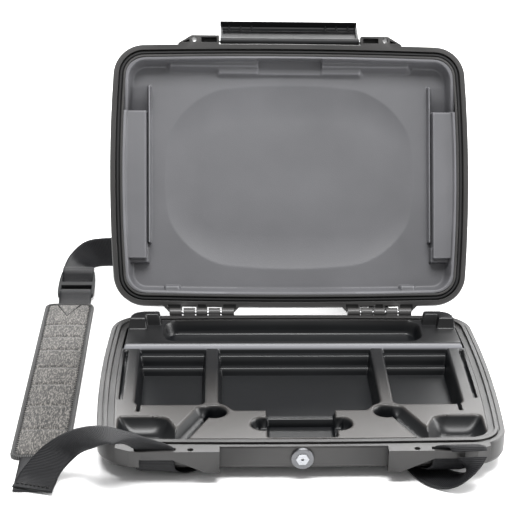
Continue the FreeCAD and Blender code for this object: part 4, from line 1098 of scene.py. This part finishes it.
    def walk(self, path: np.ndarray, offset: float) -> np.ndarray:
        """Gives evenly pitched places along the path, moved out by an offset.

        Args:
            path: Rows from ring_round.
            offset: How far out, below zero for inward.

        Returns:
            Rows of x, y and the outward normal.
        """
        placed = path.copy()
        placed[:, :2] += placed[:, 2:] * offset + np.array(self.centre)
        closed = np.vstack([placed, placed[:1]])
        travelled = run_lengths(closed[:, :2])
        marks = np.linspace(0.0, travelled[-1], round(travelled[-1] / self.pitch), endpoint=False)
        return np.column_stack([np.interp(marks, travelled, closed[:, n]) for n in range(4)])

    def triangle(self, dresser: Dresser, finish: WovenWebbing) -> None:
        """Sews the three-cornered seam that holds the webbing under the pad's back end.

        Args:
            dresser: Where finishes come from.
            finish: The thread's finish.
        """
        spots, ways = [], []
        for start, end in zip(self.end_seam, self.end_seam[1:]):
            run = np.array(end) - np.array(start)
            count = round(np.linalg.norm(run) / self.end_stitch)
            for number in range(count):
                x, y = np.array(start) + run * (number + 0.5) / count
                spots.append((x, y, self.rim + self.crown * 0.98))
                ways.append((run[0], run[1], 0.0))
        marks = thread_marks(
            "pad_end_stitches", np.array(spots), np.array(ways), self.end_stitch, self.end_thread
        )
        dresser.dress(marks, finish)
        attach(marks, "base")

    def lining(self, dresser: Dresser, finish: MouldedPlastic) -> None:
        """Builds the rubbery backing, ribbed underneath so that it doesn't slip.

        Args:
            dresser: Where finishes come from.
            finish: The backing's finish.
        """
        inset = self.tape + 0.0006
        half_x, half_y = self.width / 2 - inset, self.length / 2 - inset
        count = round(2 * half_y / self.rib_pitch)
        chamfer = 0.001
        points = []
        for row in range(count + 1):
            y = self.centre[1] - half_y + 2 * half_y * row / count
            low = self.lining_lows[row % 4]
            for x, z in (
                (-half_x, low), (-half_x + chamfer, low - 0.0001),
                (half_x - chamfer, low - 0.0001), (half_x, low),
                (half_x, self.lining_top), (-half_x, self.lining_top),
            ):
                points.append((self.centre[0] + x, y, z))
        piece = new_piece("pad_lining", points, tube_faces(count + 1, 6), smooth=False)
        dresser.dress(piece, finish)
        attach(piece, "base")
        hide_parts("pad_backing")

    def build(self, dresser: Dresser, palette: Palette) -> None:
        """Builds the pad's pieces.

        Args:
            dresser: Where finishes come from.
            palette: The finishes.
        """
        self.lining(dresser, palette.backing)
        self.felt(dresser, palette.felt)
        self.edge(dresser, palette)
        self.triangle(dresser, palette.thread)
        LOG.info("made the shoulder pad")


@dataclass
class Buckle:
    """The moulded slider: two rails, three bars, and edges rounded by a bevel."""

    centre_x: float = -0.19325
    near_y: float = 0.2025
    width: float = 0.0334
    thickness: float = 0.004
    tilt: float = 9.7
    foot: float = 0.0028
    rail: float = 0.0029
    slit: float = 0.0004
    rounding: float = 0.0009
    rows: tuple[tuple[float, float, bool], ...] = (
        (0.0, 0.86, True), (0.0015, 0.955, True), (0.005, 0.99, False), (0.0105, 1.0, False),
        (0.016, 1.0, True), (0.022, 0.99, False), (0.029, 0.97, False), (0.036, 0.93, True),
        (0.0395, 0.885, True), (0.041, 0.80, True),
    )

    def build(self, dresser: Dresser, finish: MouldedPlastic) -> None:
        """Builds the slider in place of its CAD node, from rows of a place, a share and a bar.

        Args:
            dresser: Where finishes come from.
            finish: Its finish.
        """
        points, faces = [], []
        turn = math.radians(self.tilt)
        for level in (0.0, self.thickness):
            for run, share, _ in self.rows:
                half = self.width / 2 * share
                for x in (-half, -self.width / 2 + self.rail, self.width / 2 - self.rail, half):
                    x = max(-half, min(half, x))
                    if abs(x) < half:
                        x = math.copysign(min(abs(x), half - self.slit), x)
                    points.append((
                        self.centre_x + x,
                        self.near_y + run * math.cos(turn) - level * math.sin(turn),
                        self.foot + run * math.sin(turn) + level * math.cos(turn),
                    ))
        levels = len(self.rows) * 4
        solid = [
            (row, column) for row in range(len(self.rows) - 1) for column in range(3)
            if column != 1 or self.rows[row][2]
        ]
        for row, column in solid:
            a = row * 4 + column
            quad = (a, a + 1, a + 5, a + 4)
            faces.append(quad[::-1])
            faces.append(tuple(levels + corner for corner in quad))
            for here, there, neighbour in (
                (a, a + 1, (row - 1, column)), (a + 1, a + 5, (row, column + 1)),
                (a + 5, a + 4, (row + 1, column)), (a + 4, a, (row, column - 1)),
            ):
                if neighbour not in solid:
                    faces.append((here, there, levels + there, levels + here))
        piece = new_piece("webbing_slider", points, faces)
        bevel = piece.modifiers.new("rounding", "BEVEL")
        bevel.width = self.rounding
        bevel.segments = 3
        bevel.limit_method = "ANGLE"
        bevel.harden_normals = True
        dresser.dress(piece, finish)
        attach(piece, "base")
        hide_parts("strap_buckle")
        LOG.info("made the slider")


@dataclass
class ShoulderStrap:
    """The webbing with its sewn ends, the pad and the slider."""

    pad: ShoulderPad = field(default_factory=ShoulderPad)
    slider: Buckle = field(default_factory=Buckle)
    seam_start: Spot = (-0.2092, -0.1245, 0.0040)
    seam_end: Spot = (-0.1842, -0.1322, 0.0040)
    seam_stitches: int = 8
    seam_stitch: float = 0.0028
    seam_thread: float = 0.001
    slant: float = 0.012

    def build(self, dresser: Dresser, palette: Palette) -> None:
        """Builds the strap's pieces.

        Args:
            dresser: Where finishes come from.
            palette: The finishes.
        """
        for ribbon in (
            Ribbon("left_webbing", "strap_left_webbing", LEFT_ROUTE),
            Ribbon("main_webbing", "strap_main_webbing", MAIN_ROUTE),
            Ribbon("right_tail_webbing", "strap_right_tail", TAIL_ROUTE),
            Ribbon("pad_front_tab", "strap_tab", TAB_ROUTE, steps=6),
            Ribbon("pad_lead_webbing", "strap_pad_lead", LEAD_ROUTE, steps=6),
        ):
            ribbon.build(dresser, palette.webbing)
        self.pad.build(dresser, palette)
        self.slider.build(dresser, palette.buckle)
        self.end_seam(dresser, palette.thread)

    def end_seam(self, dresser: Dresser, finish: WovenWebbing) -> None:
        """Sews the left webbing to the tab under it with one row of heavy stitches.

        Args:
            dresser: Where finishes come from.
            finish: The thread's finish.
        """
        start, end = np.array(self.seam_start), np.array(self.seam_end)
        spots, ways = [], []
        for number in range(self.seam_stitches):
            spots.append(start + (end - start) * (number + 0.5) / self.seam_stitches)
            ways.append(end - start + np.array([0.0, self.slant * (-1) ** number, 0.0]))
        marks = thread_marks(
            "webbing_end_stitches", np.array(spots), np.array(ways), self.seam_stitch,
            self.seam_thread,
        )
        dresser.dress(marks, finish)
        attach(marks, "base")


def box_reach(x: np.ndarray, y: np.ndarray, sides: Box, corner: float) -> np.ndarray:
    """Measures how far places lie outside a rounded rectangle, below zero inside.

    Args:
        x: Places across.
        y: Places along.
        sides: Its left, right, front and back.
        corner: The radius of its corners.

    Returns:
        The distances.
    """
    left, right, front, back = sides
    out_x = np.abs(x - (left + right) / 2) - (right - left) / 2 + corner
    out_y = np.abs(y - (front + back) / 2) - (back - front) / 2 + corner
    beyond = np.hypot(np.maximum(out_x, 0.0), np.maximum(out_y, 0.0))
    return beyond + np.minimum(np.maximum(out_x, out_y), 0.0) - corner


def bar_reach(
    x: np.ndarray, y: np.ndarray, start: tuple[float, float], end: tuple[float, float]
) -> np.ndarray:
    """Measures how far places lie from a line between two points.

    Args:
        x: Places across.
        y: Places along.
        start: Where the line starts.
        end: Where it ends.

    Returns:
        The distances.
    """
    run = np.array(end) - np.array(start)
    share = ((x - start[0]) * run[0] + (y - start[1]) * run[1]) / (run @ run)
    share = np.clip(share, 0.0, 1.0)
    return np.hypot(x - start[0] - share * run[0], y - start[1] - share * run[1])


def soft_least(first: np.ndarray, second: np.ndarray, blend: float) -> np.ndarray:
    """Takes the lower of two surfaces, blended where they meet."""
    near = np.maximum(blend - np.abs(first - second), 0.0) / blend
    return np.minimum(first, second) - near ** 2 * blend / 4


def soft_most(first: np.ndarray, second: np.ndarray, blend: float) -> np.ndarray:
    """Takes the higher of two surfaces, blended where they meet."""
    return -soft_least(-first, -second, blend)


def along_profile(reach: np.ndarray, profile: Profile) -> np.ndarray:
    """Reads a profile, given as pairs of a distance and a value, at each distance."""
    return np.interp(reach, *zip(*profile))


def bank(reach: np.ndarray, mouth: float, lip: float, slope: float) -> np.ndarray:
    """Gives the wall of a pressed hollow, which runs on down below its rounded lip.

    Args:
        reach: Distances outside the hollow.
        mouth: The height of its mouth.
        lip: The radius of its lip.
        slope: The steepness of its wall.

    Returns:
        The wall's heights.
    """
    far, high = 50.0, 150.0
    turn = np.linspace(0.0, np.pi / 2, 8)
    turn = turn[turn <= math.atan(slope)]
    runs = lip - lip * np.sin(turn)
    heights = mouth - lip + lip * np.cos(turn)
    foot = heights[-1] - (runs[-1] + far) * slope
    along = np.concatenate([[lip + far], runs, [-far]])
    level = np.concatenate([[mouth + high], heights, [foot]])
    return np.interp(reach, along[::-1], level[::-1])


def stair(y: np.ndarray, edges: tuple[Spot, ...], lip: float) -> np.ndarray:
    """Gives a floor that falls in steps towards the front.

    Args:
        y: Places along.
        edges: Each step's front edge, the level behind it and the level before it.
        lip: The radius of each step's edge.

    Returns:
        The floor's heights.
    """
    floor = np.full_like(y, edges[0][1])
    for edge, behind, ahead in edges:
        wall = np.minimum(bank(y - edge, behind, lip, 9.0), behind)
        floor = np.where(y < edge + lip, np.maximum(wall, ahead), floor)
    return floor


@dataclass(frozen=True)
class Hollow:
    """A pressed hollow: its mouth's sides and corner, its lip, its wall's slope and its floor."""

    sides: Box
    corner: float
    lip: float
    slope: float
    floor: float = 0.0

    def reach(self, x: np.ndarray, y: np.ndarray) -> np.ndarray:
        """Measures how far places lie outside the hollow."""
        return box_reach(x, y, self.sides, self.corner)

    def wall(self, reach: np.ndarray, mouth: float) -> np.ndarray:
        """Gives the heights of its wall below a mouth."""
        return bank(reach, mouth, self.lip, self.slope)

    def heights(self, x: np.ndarray, y: np.ndarray, mouth: float) -> np.ndarray:
        """Gives the heights of its wall and its floor."""
        return np.maximum(self.wall(self.reach(x, y), mouth), self.floor)


def round_hollow(
    middle: tuple[float, float], radius: float, lip: float, slope: float, floor: float
) -> Hollow:
    """Makes a round hollow.

    Args:
        middle: Its middle.
        radius: Its radius.
        lip: The radius of its lip.
        slope: The steepness of its wall.
        floor: The height of its floor.

    Returns:
        The hollow.
    """
    x, y = middle
    return Hollow((x - radius, x + radius, y - radius, y + radius), radius, lip, slope, floor)


@dataclass(frozen=True)
class Boss:
    """A raised form: its sides, its top, its wall's slope, its corner and its rounded edge."""

    sides: Box
    top: float
    slope: float
    corner: float = 1.0
    edge: float = 0.9

    def heights(self, x: np.ndarray, y: np.ndarray) -> np.ndarray:
        """Gives the heights of the form.

        Args:
            x: Places across.
            y: Places along.

        Returns:
            The heights, which run on down beside it.
        """
        edge, far = self.edge, 60.0
        return self.top - along_profile(box_reach(x, y, self.sides, self.corner), (
            (-edge, 0.0), (-edge / 2, edge * 0.14), (-edge / 8, edge * 0.52), (0.0, edge),
            (far, edge + far * self.slope),
        ))


@dataclass
class MouldedSheet:
    """A sheet pressed over a mould: its outline, its thickness and its grid."""

    half_width: float
    half_depth: float
    corner: float
    side_bow: float = 1236.4
    end_bow: float = 4895.0
    thickness: float = 1.7
    cell: float = 0.9
    straight: int = 14
    sharp: float = 62.0

    def grid(self) -> tuple[np.ndarray, np.ndarray]:
        """Lays a grid of places out to the outline, with rows that only bow beside the rim.

        Returns:
            Places across and along, in millimetres.
        """
        rows = round(2 * self.half_depth / self.cell)
        columns = round(2 * self.half_width / self.cell)
        down = np.linspace(-1.0, 1.0, rows + 1)[:, None]
        over = np.linspace(-1.0, 1.0, columns + 1)[None, :]
        flat = np.abs(down) * self.half_depth
        into = np.maximum(flat - (self.half_depth - self.corner), 0.0)
        pulled = self.corner - np.sqrt(np.maximum(self.corner ** 2 - into ** 2, 0.0))
        bowed = flat ** 2 / (2 * self.side_bow) * np.abs(over) ** self.straight
        x = over * (self.half_width - bowed - pulled * np.abs(over) ** 3)
        bowed = x ** 2 / (2 * self.end_bow) * np.abs(down) ** self.straight
        return x, down * (self.half_depth - bowed)

    def outside(self, x: np.ndarray, y: np.ndarray) -> np.ndarray:
        """Measures how far places lie outside the sheet's bowed outline.

        Args:
            x: Places across.
            y: Places along.

        Returns:
            The distances.
        """
        across = np.abs(x) + y ** 2 / (2 * self.side_bow)
        along = np.abs(y) + x ** 2 / (2 * self.end_bow)
        half = (-self.half_width, self.half_width, -self.half_depth, self.half_depth)
        return box_reach(across, along, half, self.corner)

    def below(self, height: np.ndarray) -> np.ndarray:
        """Gives the sheet's other face, kept its thickness away from steep walls too.

        Args:
            height: The seen face's heights.

        Returns:
            The other face's heights.
        """
        reach = max(1, round(self.thickness / self.cell))
        lowest = height
        for axis in (0, 1):
            lines = np.moveaxis(lowest, axis, 0)
            padded = np.pad(lines, ((reach, reach), (0, 0)), mode="edge")
            shifted = [padded[step:step + len(lines)] for step in range(2 * reach + 1)]
            lowest = np.moveaxis(np.minimum.reduce(shifted), 0, axis)
        return lowest - self.thickness

    def piece(
        self, name: str, x: np.ndarray, y: np.ndarray, height: np.ndarray,
        turn: Callable[[np.ndarray], np.ndarray],
    ) -> Piece:
        """Makes the closed sheet from its heights.

        Args:
            name: The piece's name.
            x: Places across, in millimetres.
            y: Places along.
            height: The seen face's height at each place.
            turn: Puts points in millimetres where the sheet is at rest.

        Returns:
            The sheet.
        """
        rows, columns = height.shape
        seen = np.column_stack([x.ravel(), y.ravel(), height.ravel()])
        back = np.column_stack([x.ravel(), y.ravel(), self.below(height).ravel()])
        points = turn(np.vstack([seen, back])) / 1000
        index = np.arange(rows * columns).reshape(rows, columns)
        quads = np.stack(
            [index[:-1, :-1], index[:-1, 1:], index[1:, 1:], index[1:, :-1]], axis=-1
        ).reshape(-1, 4)
        rim = np.concatenate(
            [index[0, :], index[1:, -1], index[-1, -2::-1], index[-2:0:-1, 0]]
        )
        after = np.roll(rim, -1)
        far = rows * columns
        walls = np.stack([after, rim, rim + far, after + far], axis=-1)
        faces = np.vstack([quads, quads[:, ::-1] + far, walls])
        made = new_piece(name, points.tolist(), faces.tolist())
        made.data.set_sharp_from_angle(angle=math.radians(self.sharp))
        LOG.info("made %s with %d faces", name, len(faces))
        return made


@dataclass
class BaseTray:
    """The black tray in the base: pockets with steps, trough, towers, wells and finger holes.

    Its sizes are in millimetres. The towers, side pockets, wells, holes and slots are mirrored.
    """

    sheet: MouldedSheet = field(default_factory=lambda: MouldedSheet(142.7, 101.2, 13.7))
    top: float = 26.5
    ridge: float = 50.5
    ridge_top: float = 29.5
    ridge_fall: Profile = (
        (-6.0, 0.0), (-5.0, 0.09), (-4.0, 0.34), (-3.0, 0.80), (-2.0, 1.53), (-1.0, 2.68),
        (-0.3, 4.15), (0.0, 5.6), (1.2, 13.0), (60.0, 400.0),
    )
    trough: Hollow = Hollow((-107.5, 107.5, 58.5, 97.5), 12.0, 2.0, 3.2, 18.0)
    tower: Box = (111.8, 170.0, 82.0, 130.0)
    tower_corner: float = 4.0
    tower_top: float = 38.9
    tower_fall: Profile = (
        (-2.2, 0.0), (-1.6, 0.09), (-1.0, 0.35), (-0.5, 0.8), (-0.15, 1.4), (0.0, 2.2),
        (1.0, 12.0), (40.0, 400.0),
    )
    notch: Hollow = Hollow((100.0, 123.8, 70.0, 90.0), 1.5, 1.2, 8.0, 29.5)
    rim_rise: float = 0.4
    rim_inset: float = 1.5
    rim_slope: float = 6.0
    rim_blend: float = 1.5
    side_pocket: Hollow = Hollow((73.3, 126.6, -47.0, 60.0), 6.0, 1.8, 7.5)
    middle_pocket: Hollow = Hollow((-62.5, 62.5, -56.5, 60.0), 6.0, 1.8, 7.5)
    treads: tuple[Spot, ...] = ((44.0, 22.0, 14.0), (37.5, 14.0, 8.0))
    tread_lip: float = 1.9
    tread_blend: float = 1.2
    front_pocket: Hollow = Hollow((-26.0, 26.0, -98.6, -50.0), 2.4, 1.5, 8.0)
    front_treads: tuple[Spot, ...] = ((-61.0, 20.5, 14.0),)
    front_lip: float = 1.6
    front_blend: float = 1.0
    hole: Hollow = round_hollow((65.8, -58.5), 9.2, 2.4, 6.0, 13.0)
    hole_ring: float = 4.5
    ring_blend: float = 5.0
    scoop: Hollow = round_hollow((28.0, -78.0), 10.2, 1.4, 8.0, 17.0)
    slot: Hollow = Hollow((122.6, 124.8, -58.0, -42.0), 0.8, 0.5, 6.0, 20.0)
    edge_slot: Hollow = Hollow((136.5, 139.5, -38.0, 46.5), 0.8, 0.5, 6.0, 22.5)
    channel: tuple[tuple[float, float], ...] = ((73.5, -57.5), (91.0, -96.0))
    channel_half: float = 7.8
    channel_depth: float = 7.5
    well_side: Profile = (
        (-99.1, 88.5), (-93.5, 91.6), (-85.6, 94.1), (-76.2, 97.4), (-70.0, 100.0),
        (-66.5, 104.0), (-64.5, 112.0),
    )
    well_lean: float = 0.94
    well_back: float = -65.0
    well_back_blend: float = 6.0
    well_rim: float = 138.6
    well_rim_blend: float = 5.0
    well_run: float = 12.5
    well_depth: float = 11.0

    def back(self, x: np.ndarray, y: np.ndarray) -> np.ndarray:
        """Shapes the raised back with its trough and two towers.

        Args:
            x: Places across.
            y: Places along.

        Returns:
            The back's heights, which fall away before the ridge.
        """
        wide = np.abs(x)
        raised = self.ridge_top - along_profile(self.ridge - y, self.ridge_fall)
        raised = np.minimum(raised, self.trough.heights(x, y, self.ridge_top))
        beside = box_reach(wide, y, self.tower, self.tower_corner)
        tall = self.tower_top - along_profile(beside, self.tower_fall)
        tall = np.minimum(tall, self.notch.heights(wide, y, self.tower_top))
        beyond = self.sheet.outside(x, y) + self.rim_inset
        rim = self.top + self.rim_rise - self.rim_slope * beyond
        return soft_least(np.maximum(raised, tall), rim, self.rim_blend)

    def front(self, x: np.ndarray, y: np.ndarray) -> np.ndarray:
        """Shapes the plateau with its pockets, wells, holes and slots.

        Args:
            x: Places across.
            y: Places along.

        Returns:
            The front's heights.
        """
        wide = np.abs(x)
        ring = self.hole_ring - self.hole.reach(wide, y)
        middle = soft_most(self.middle_pocket.reach(x, y), ring, self.ring_blend)
        steps = stair(y, self.treads, self.tread_lip)
        shelf = stair(y, self.front_treads, self.front_lip)
        level = self.wells(wide, y)
        for pocket, reach, floor, blend in (
            (self.side_pocket, self.side_pocket.reach(wide, y), steps, self.tread_blend),
            (self.middle_pocket, middle, steps, self.tread_blend),
            (self.front_pocket, self.front_pocket.reach(x, y), shelf, self.front_blend),
        ):
            level = np.minimum(level, soft_most(pocket.wall(reach, self.top), floor, blend))
        for hollow in (self.hole, self.scoop, self.slot, self.edge_slot):
            level = np.minimum(level, hollow.heights(wide, y, self.top))
        return level

    def wells(self, wide: np.ndarray, y: np.ndarray) -> np.ndarray:
        """Shapes the channels and the corner wells in the plateau.

        Args:
            wide: Distances from the tray's middle line.
            y: Places along.

        Returns:
            The heights.
        """
        share = bar_reach(wide, y, *self.channel) / self.channel_half
        channel = self.top - self.channel_depth * np.clip(1.0 - share ** 2, 0.0, 1.0)
        beside = (along_profile(y, self.well_side) - wide) * self.well_lean
        well = soft_most(beside, y - self.well_back, self.well_back_blend)
        well = soft_most(well, wide - self.well_rim, self.well_rim_blend)
        share = np.clip(-well / self.well_run, 0.0, 1.0)
        return np.minimum(channel, self.top - self.well_depth * (1.0 - (1.0 - share) ** 2.0))

    def build(self, dresser: Dresser, finish: PressedSheet) -> None:
        """Builds the tray in place of its CAD node.

        Args:
            dresser: Where finishes come from.
            finish: The tray's finish.
        """
        x, y = self.sheet.grid()
        back = self.back(x, y)
        height = np.where(y > self.ridge, back, np.maximum(self.front(x, y), back))
        tray = self.sheet.piece("base_tray_sheet", x, y, height, lambda points: points)
        dresser.dress(tray, finish)
        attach(tray, "base")
        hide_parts("base_tray")


@dataclass
class LidLiner:
    """The grey liner in the lid: a shallow dish, side bars, ledges and stops.

    Its sizes are in millimetres, of the closed lid seen from below. The bars are mirrored.
    """

    sheet: MouldedSheet = field(
        default_factory=lambda: MouldedSheet(145.2, 103.7, 16.2, thickness=1.5)
    )
    hinge: tuple[float, float] = (119.0, 27.15)
    opened: float = 116.8
    mouth: float = 27.8
    floor: float = -14.5
    foot_blend: float = 5.0
    wall_fall: Profile = ((0.0, 0.0), (1.9, 0.0), (2.3, 0.3), (4.9, 12.0), (60.0, 240.0))
    dish: Box = (-109.0, 109.0, -80.5, 80.5)
    dish_bows: tuple[float, float] = (207.0, 478.6)
    dish_corner: float = 40.0
    dish_run: float = 30.0
    dish_depth: float = 3.6
    scoop_inner: float = 123.5
    scoop_ends: tuple[float, float] = (-80.0, -56.0)
    scoop_run: float = 22.0
    scoop_depth: float = 6.0
    bars: tuple[Boss, ...] = (
        Boss((124.7, 170.0, -56.5, 72.0), -2.6, 12.0, 0.8, 0.8),
        Boss((121.5, 123.2, -79.0, 58.0), -5.5, 12.0, 0.8, 0.8),
        Boss((123.2, 170.0, 62.0, 75.0), -7.0, 12.0, 0.8, 0.8),
        Boss((96.5, 108.5, 95.8, 130.0), -2.6, 9.0),
    )
    ledges: tuple[Boss, ...] = (
        Boss((-104.0, 104.0, -130.0, -95.5), -7.0, 1.6),
        Boss((-62.0, 62.0, -130.0, -90.0), -10.0, 1.4),
        Boss((-96.0, 96.0, 98.6, 130.0), -7.0, 6.0),
    )
    notch: Box = (-28.0, 28.0, -101.6, -84.0)
    notch_floor: float = -11.0

    def turned(self, points: np.ndarray) -> np.ndarray:
        """Turns points of the closed lid to where the open lid holds them.

        Args:
            points: The points, one a row.

        Returns:
            The turned points.
        """
        turn = math.radians(self.opened)
        y, z = points[:, 1] - self.hinge[0], self.mouth - points[:, 2] - self.hinge[1]
        return np.column_stack([
            points[:, 0],
            self.hinge[0] + y * math.cos(turn) + z * math.sin(turn),
            self.hinge[1] - y * math.sin(turn) + z * math.cos(turn),
        ])

    def heights(self, x: np.ndarray, y: np.ndarray) -> np.ndarray:
        """Shapes the dish and the raised forms round it.

        Args:
            x: Places across.
            y: Places along.

        Returns:
            The heights.
        """
        wide = np.abs(x)
        walls = -along_profile(-self.sheet.outside(x, y), self.wall_fall)
        level = soft_most(walls, np.full_like(x, self.floor), self.foot_blend)
        across = wide + y ** 2 / (2 * self.dish_bows[0])
        along = np.abs(y) + x ** 2 / (2 * self.dish_bows[1])
        dish = box_reach(across, along, self.dish, self.dish_corner)
        share = np.clip(-dish / self.dish_run, 0.0, 1.0)
        level = level - self.dish_depth * (1 - (1 - share) ** 2)
        front, back = self.scoop_ends
        scoop = np.clip((y - front) / self.scoop_run, 0.0, 1.0) ** 1.5 * self.scoop_depth
        scooped = np.maximum(level - scoop, self.floor - self.scoop_depth)
        level = np.where((wide > self.scoop_inner) & (y > front) & (y < back), scooped, level)
        for bar in self.bars:
            level = np.maximum(level, bar.heights(wide, y))
        for ledge in self.ledges:
            level = np.maximum(level, ledge.heights(x, y))
        in_notch = box_reach(x, y, self.notch, 1.0) < 0.0
        return np.where(in_notch, np.minimum(level, self.notch_floor), level)

    def build(self, dresser: Dresser, finish: MouldedPlastic) -> None:
        """Builds the liner in place of its CAD node.

        Args:
            dresser: Where finishes come from.
            finish: The liner's finish.
        """
        x, y = self.sheet.grid()
        liner = self.sheet.piece("lid_liner_sheet", x, y, self.heights(x, y), self.turned)
        liner.data.flip_normals()
        dresser.dress(liner, finish)
        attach(liner, "lid")
        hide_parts("lid_liner")


@dataclass
class CaseBody:
    """The shells, seal, valve, latch and the pins of the hinges and latch."""

    def build(self, dresser: Dresser, palette: Palette) -> None:
        """Dresses the rigid pieces.

        Args:
            dresser: Where finishes come from.
            palette: The finishes.
        """
        finishes = {
            "base_shell": palette.shell, "lid_shell": palette.shell,
            "lid_gasket": palette.seal, "valve_o_ring": palette.seal,
            "latch": palette.latch, "valve_housing": palette.valve,
            "valve_knob": palette.knob, "valve_nut": palette.valve,
            "valve_membrane": palette.film, "hinge_pin_left": palette.steel,
            "hinge_pin_right": palette.steel, "latch_pin_left": palette.steel,
            "latch_pin_right": palette.steel,
        }
        for name, kind in finishes.items():
            dresser.dress_node(name, kind)


@dataclass
class Studio:
    """The pale floor, soft lights and the camera at the photograph's angle."""

    picture: float = 510.0
    focal: float = 1550.37
    middle: tuple[float, float] = (308.42, 346.66)
    yaw: float = -3.627
    elevation: float = 26.072
    roll: float = 1.482
    distance: float = 1.2268
    target: Spot = (0.00853, 0.0, 0.05243)

    def camera(self) -> None:
        """Sets the camera up."""
        yaw, rise, roll = (math.radians(a) for a in (self.yaw, self.elevation, self.roll))
        back = Vector((
            math.sin(yaw) * math.cos(rise), -math.cos(yaw) * math.cos(rise), math.sin(rise),
        ))
        right = Vector((math.cos(yaw), math.sin(yaw), 0.0))
        up = back.cross(right)
        tilted = right * math.cos(roll) + up * math.sin(roll)
        upright = up * math.cos(roll) - right * math.sin(roll)
        data = bpy.data.cameras.new("camera")
        data.sensor_width = 36.0
        data.lens = self.focal / self.picture * data.sensor_width
        data.shift_x = (self.picture / 2 - self.middle[0]) / self.picture
        data.shift_y = (self.middle[1] - self.picture / 2) / self.picture
        data.clip_start = 0.05
        data.clip_end = 30.0
        camera = bpy.data.objects.new("camera", data)
        turn = Matrix((tilted, upright, back)).transposed().to_4x4()
        camera.matrix_world = Matrix.Translation(Vector(self.target) + back * self.distance) @ turn
        bpy.context.scene.collection.objects.link(camera)
        bpy.context.scene.camera = camera

    def light(
        self, name: str, spot: Spot, aim: Spot, size: tuple[float, float], power: float
    ) -> None:
        """Adds one soft light.

        Args:
            name: Its name.
            spot: Where it is.
            aim: What it points at.
            size: Its width and height.
            power: Its power in watts.
        """
        data = bpy.data.lights.new(name, "AREA")
        data.shape = "RECTANGLE"
        data.size, data.size_y = size
        data.energy = power
        lamp = bpy.data.objects.new(name, data)
        lamp.location = spot
        lamp.rotation_euler = (Vector(aim) - Vector(spot)).to_track_quat("-Z", "Y").to_euler()
        bpy.context.scene.collection.objects.link(lamp)

    def build(self, dresser: Dresser, palette: Palette) -> None:
        """Builds the floor, the lights and the camera.

        Args:
            dresser: Where finishes come from.
            palette: The finishes.
        """
        side, low = 6.0, -0.0002
        floor = new_piece(
            "floor",
            [(-side, -side, low), (side, -side, low), (side, side, low), (-side, side, low)],
            [(0, 1, 2, 3)],
        )
        dresser.dress(floor, palette.floor)
        world = bpy.data.worlds.new("studio")
        world.use_nodes = True
        background = world.node_tree.nodes["Background"]
        background.inputs["Color"].default_value = (1.0, 1.0, 1.0, 1.0)
        background.inputs["Strength"].default_value = 0.5
        bpy.context.scene.world = world
        self.light("key", (0.3, 1.52, 1.17), (0.0, 0.0, 0.05), (1.8, 0.42), 42.0)
        self.light("backdrop", (0.0, 2.0, 0.45), (0.0, 0.0, 0.2), (3.6, 0.9), 18.0)
        self.light("top", (0.0, -0.3, 1.9), (0.0, 0.0, 0.05), (1.5, 0.8), 66.0)
        self.light("side", (1.7, 0.1, 0.55), (0.0, 0.0, 0.1), (1.2, 0.9), 36.0)
        self.camera()
        bpy.context.scene.view_settings.view_transform = "Standard"
        LOG.info("set the studio up")


def main() -> None:
    """Builds the scene in order and reports each piece."""
    logging.basicConfig(level=logging.INFO, format="%(message)s")
    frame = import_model()
    palette = Palette()
    dresser = Dresser(frame["nodes"])
    CaseBody().build(dresser, palette)
    BaseTray().build(dresser, palette.tray)
    LidLiner().build(dresser, palette.liner)
    ShoulderStrap().build(dresser, palette)
    Studio().build(dresser, palette)


if __name__ == "__main__":
    main()
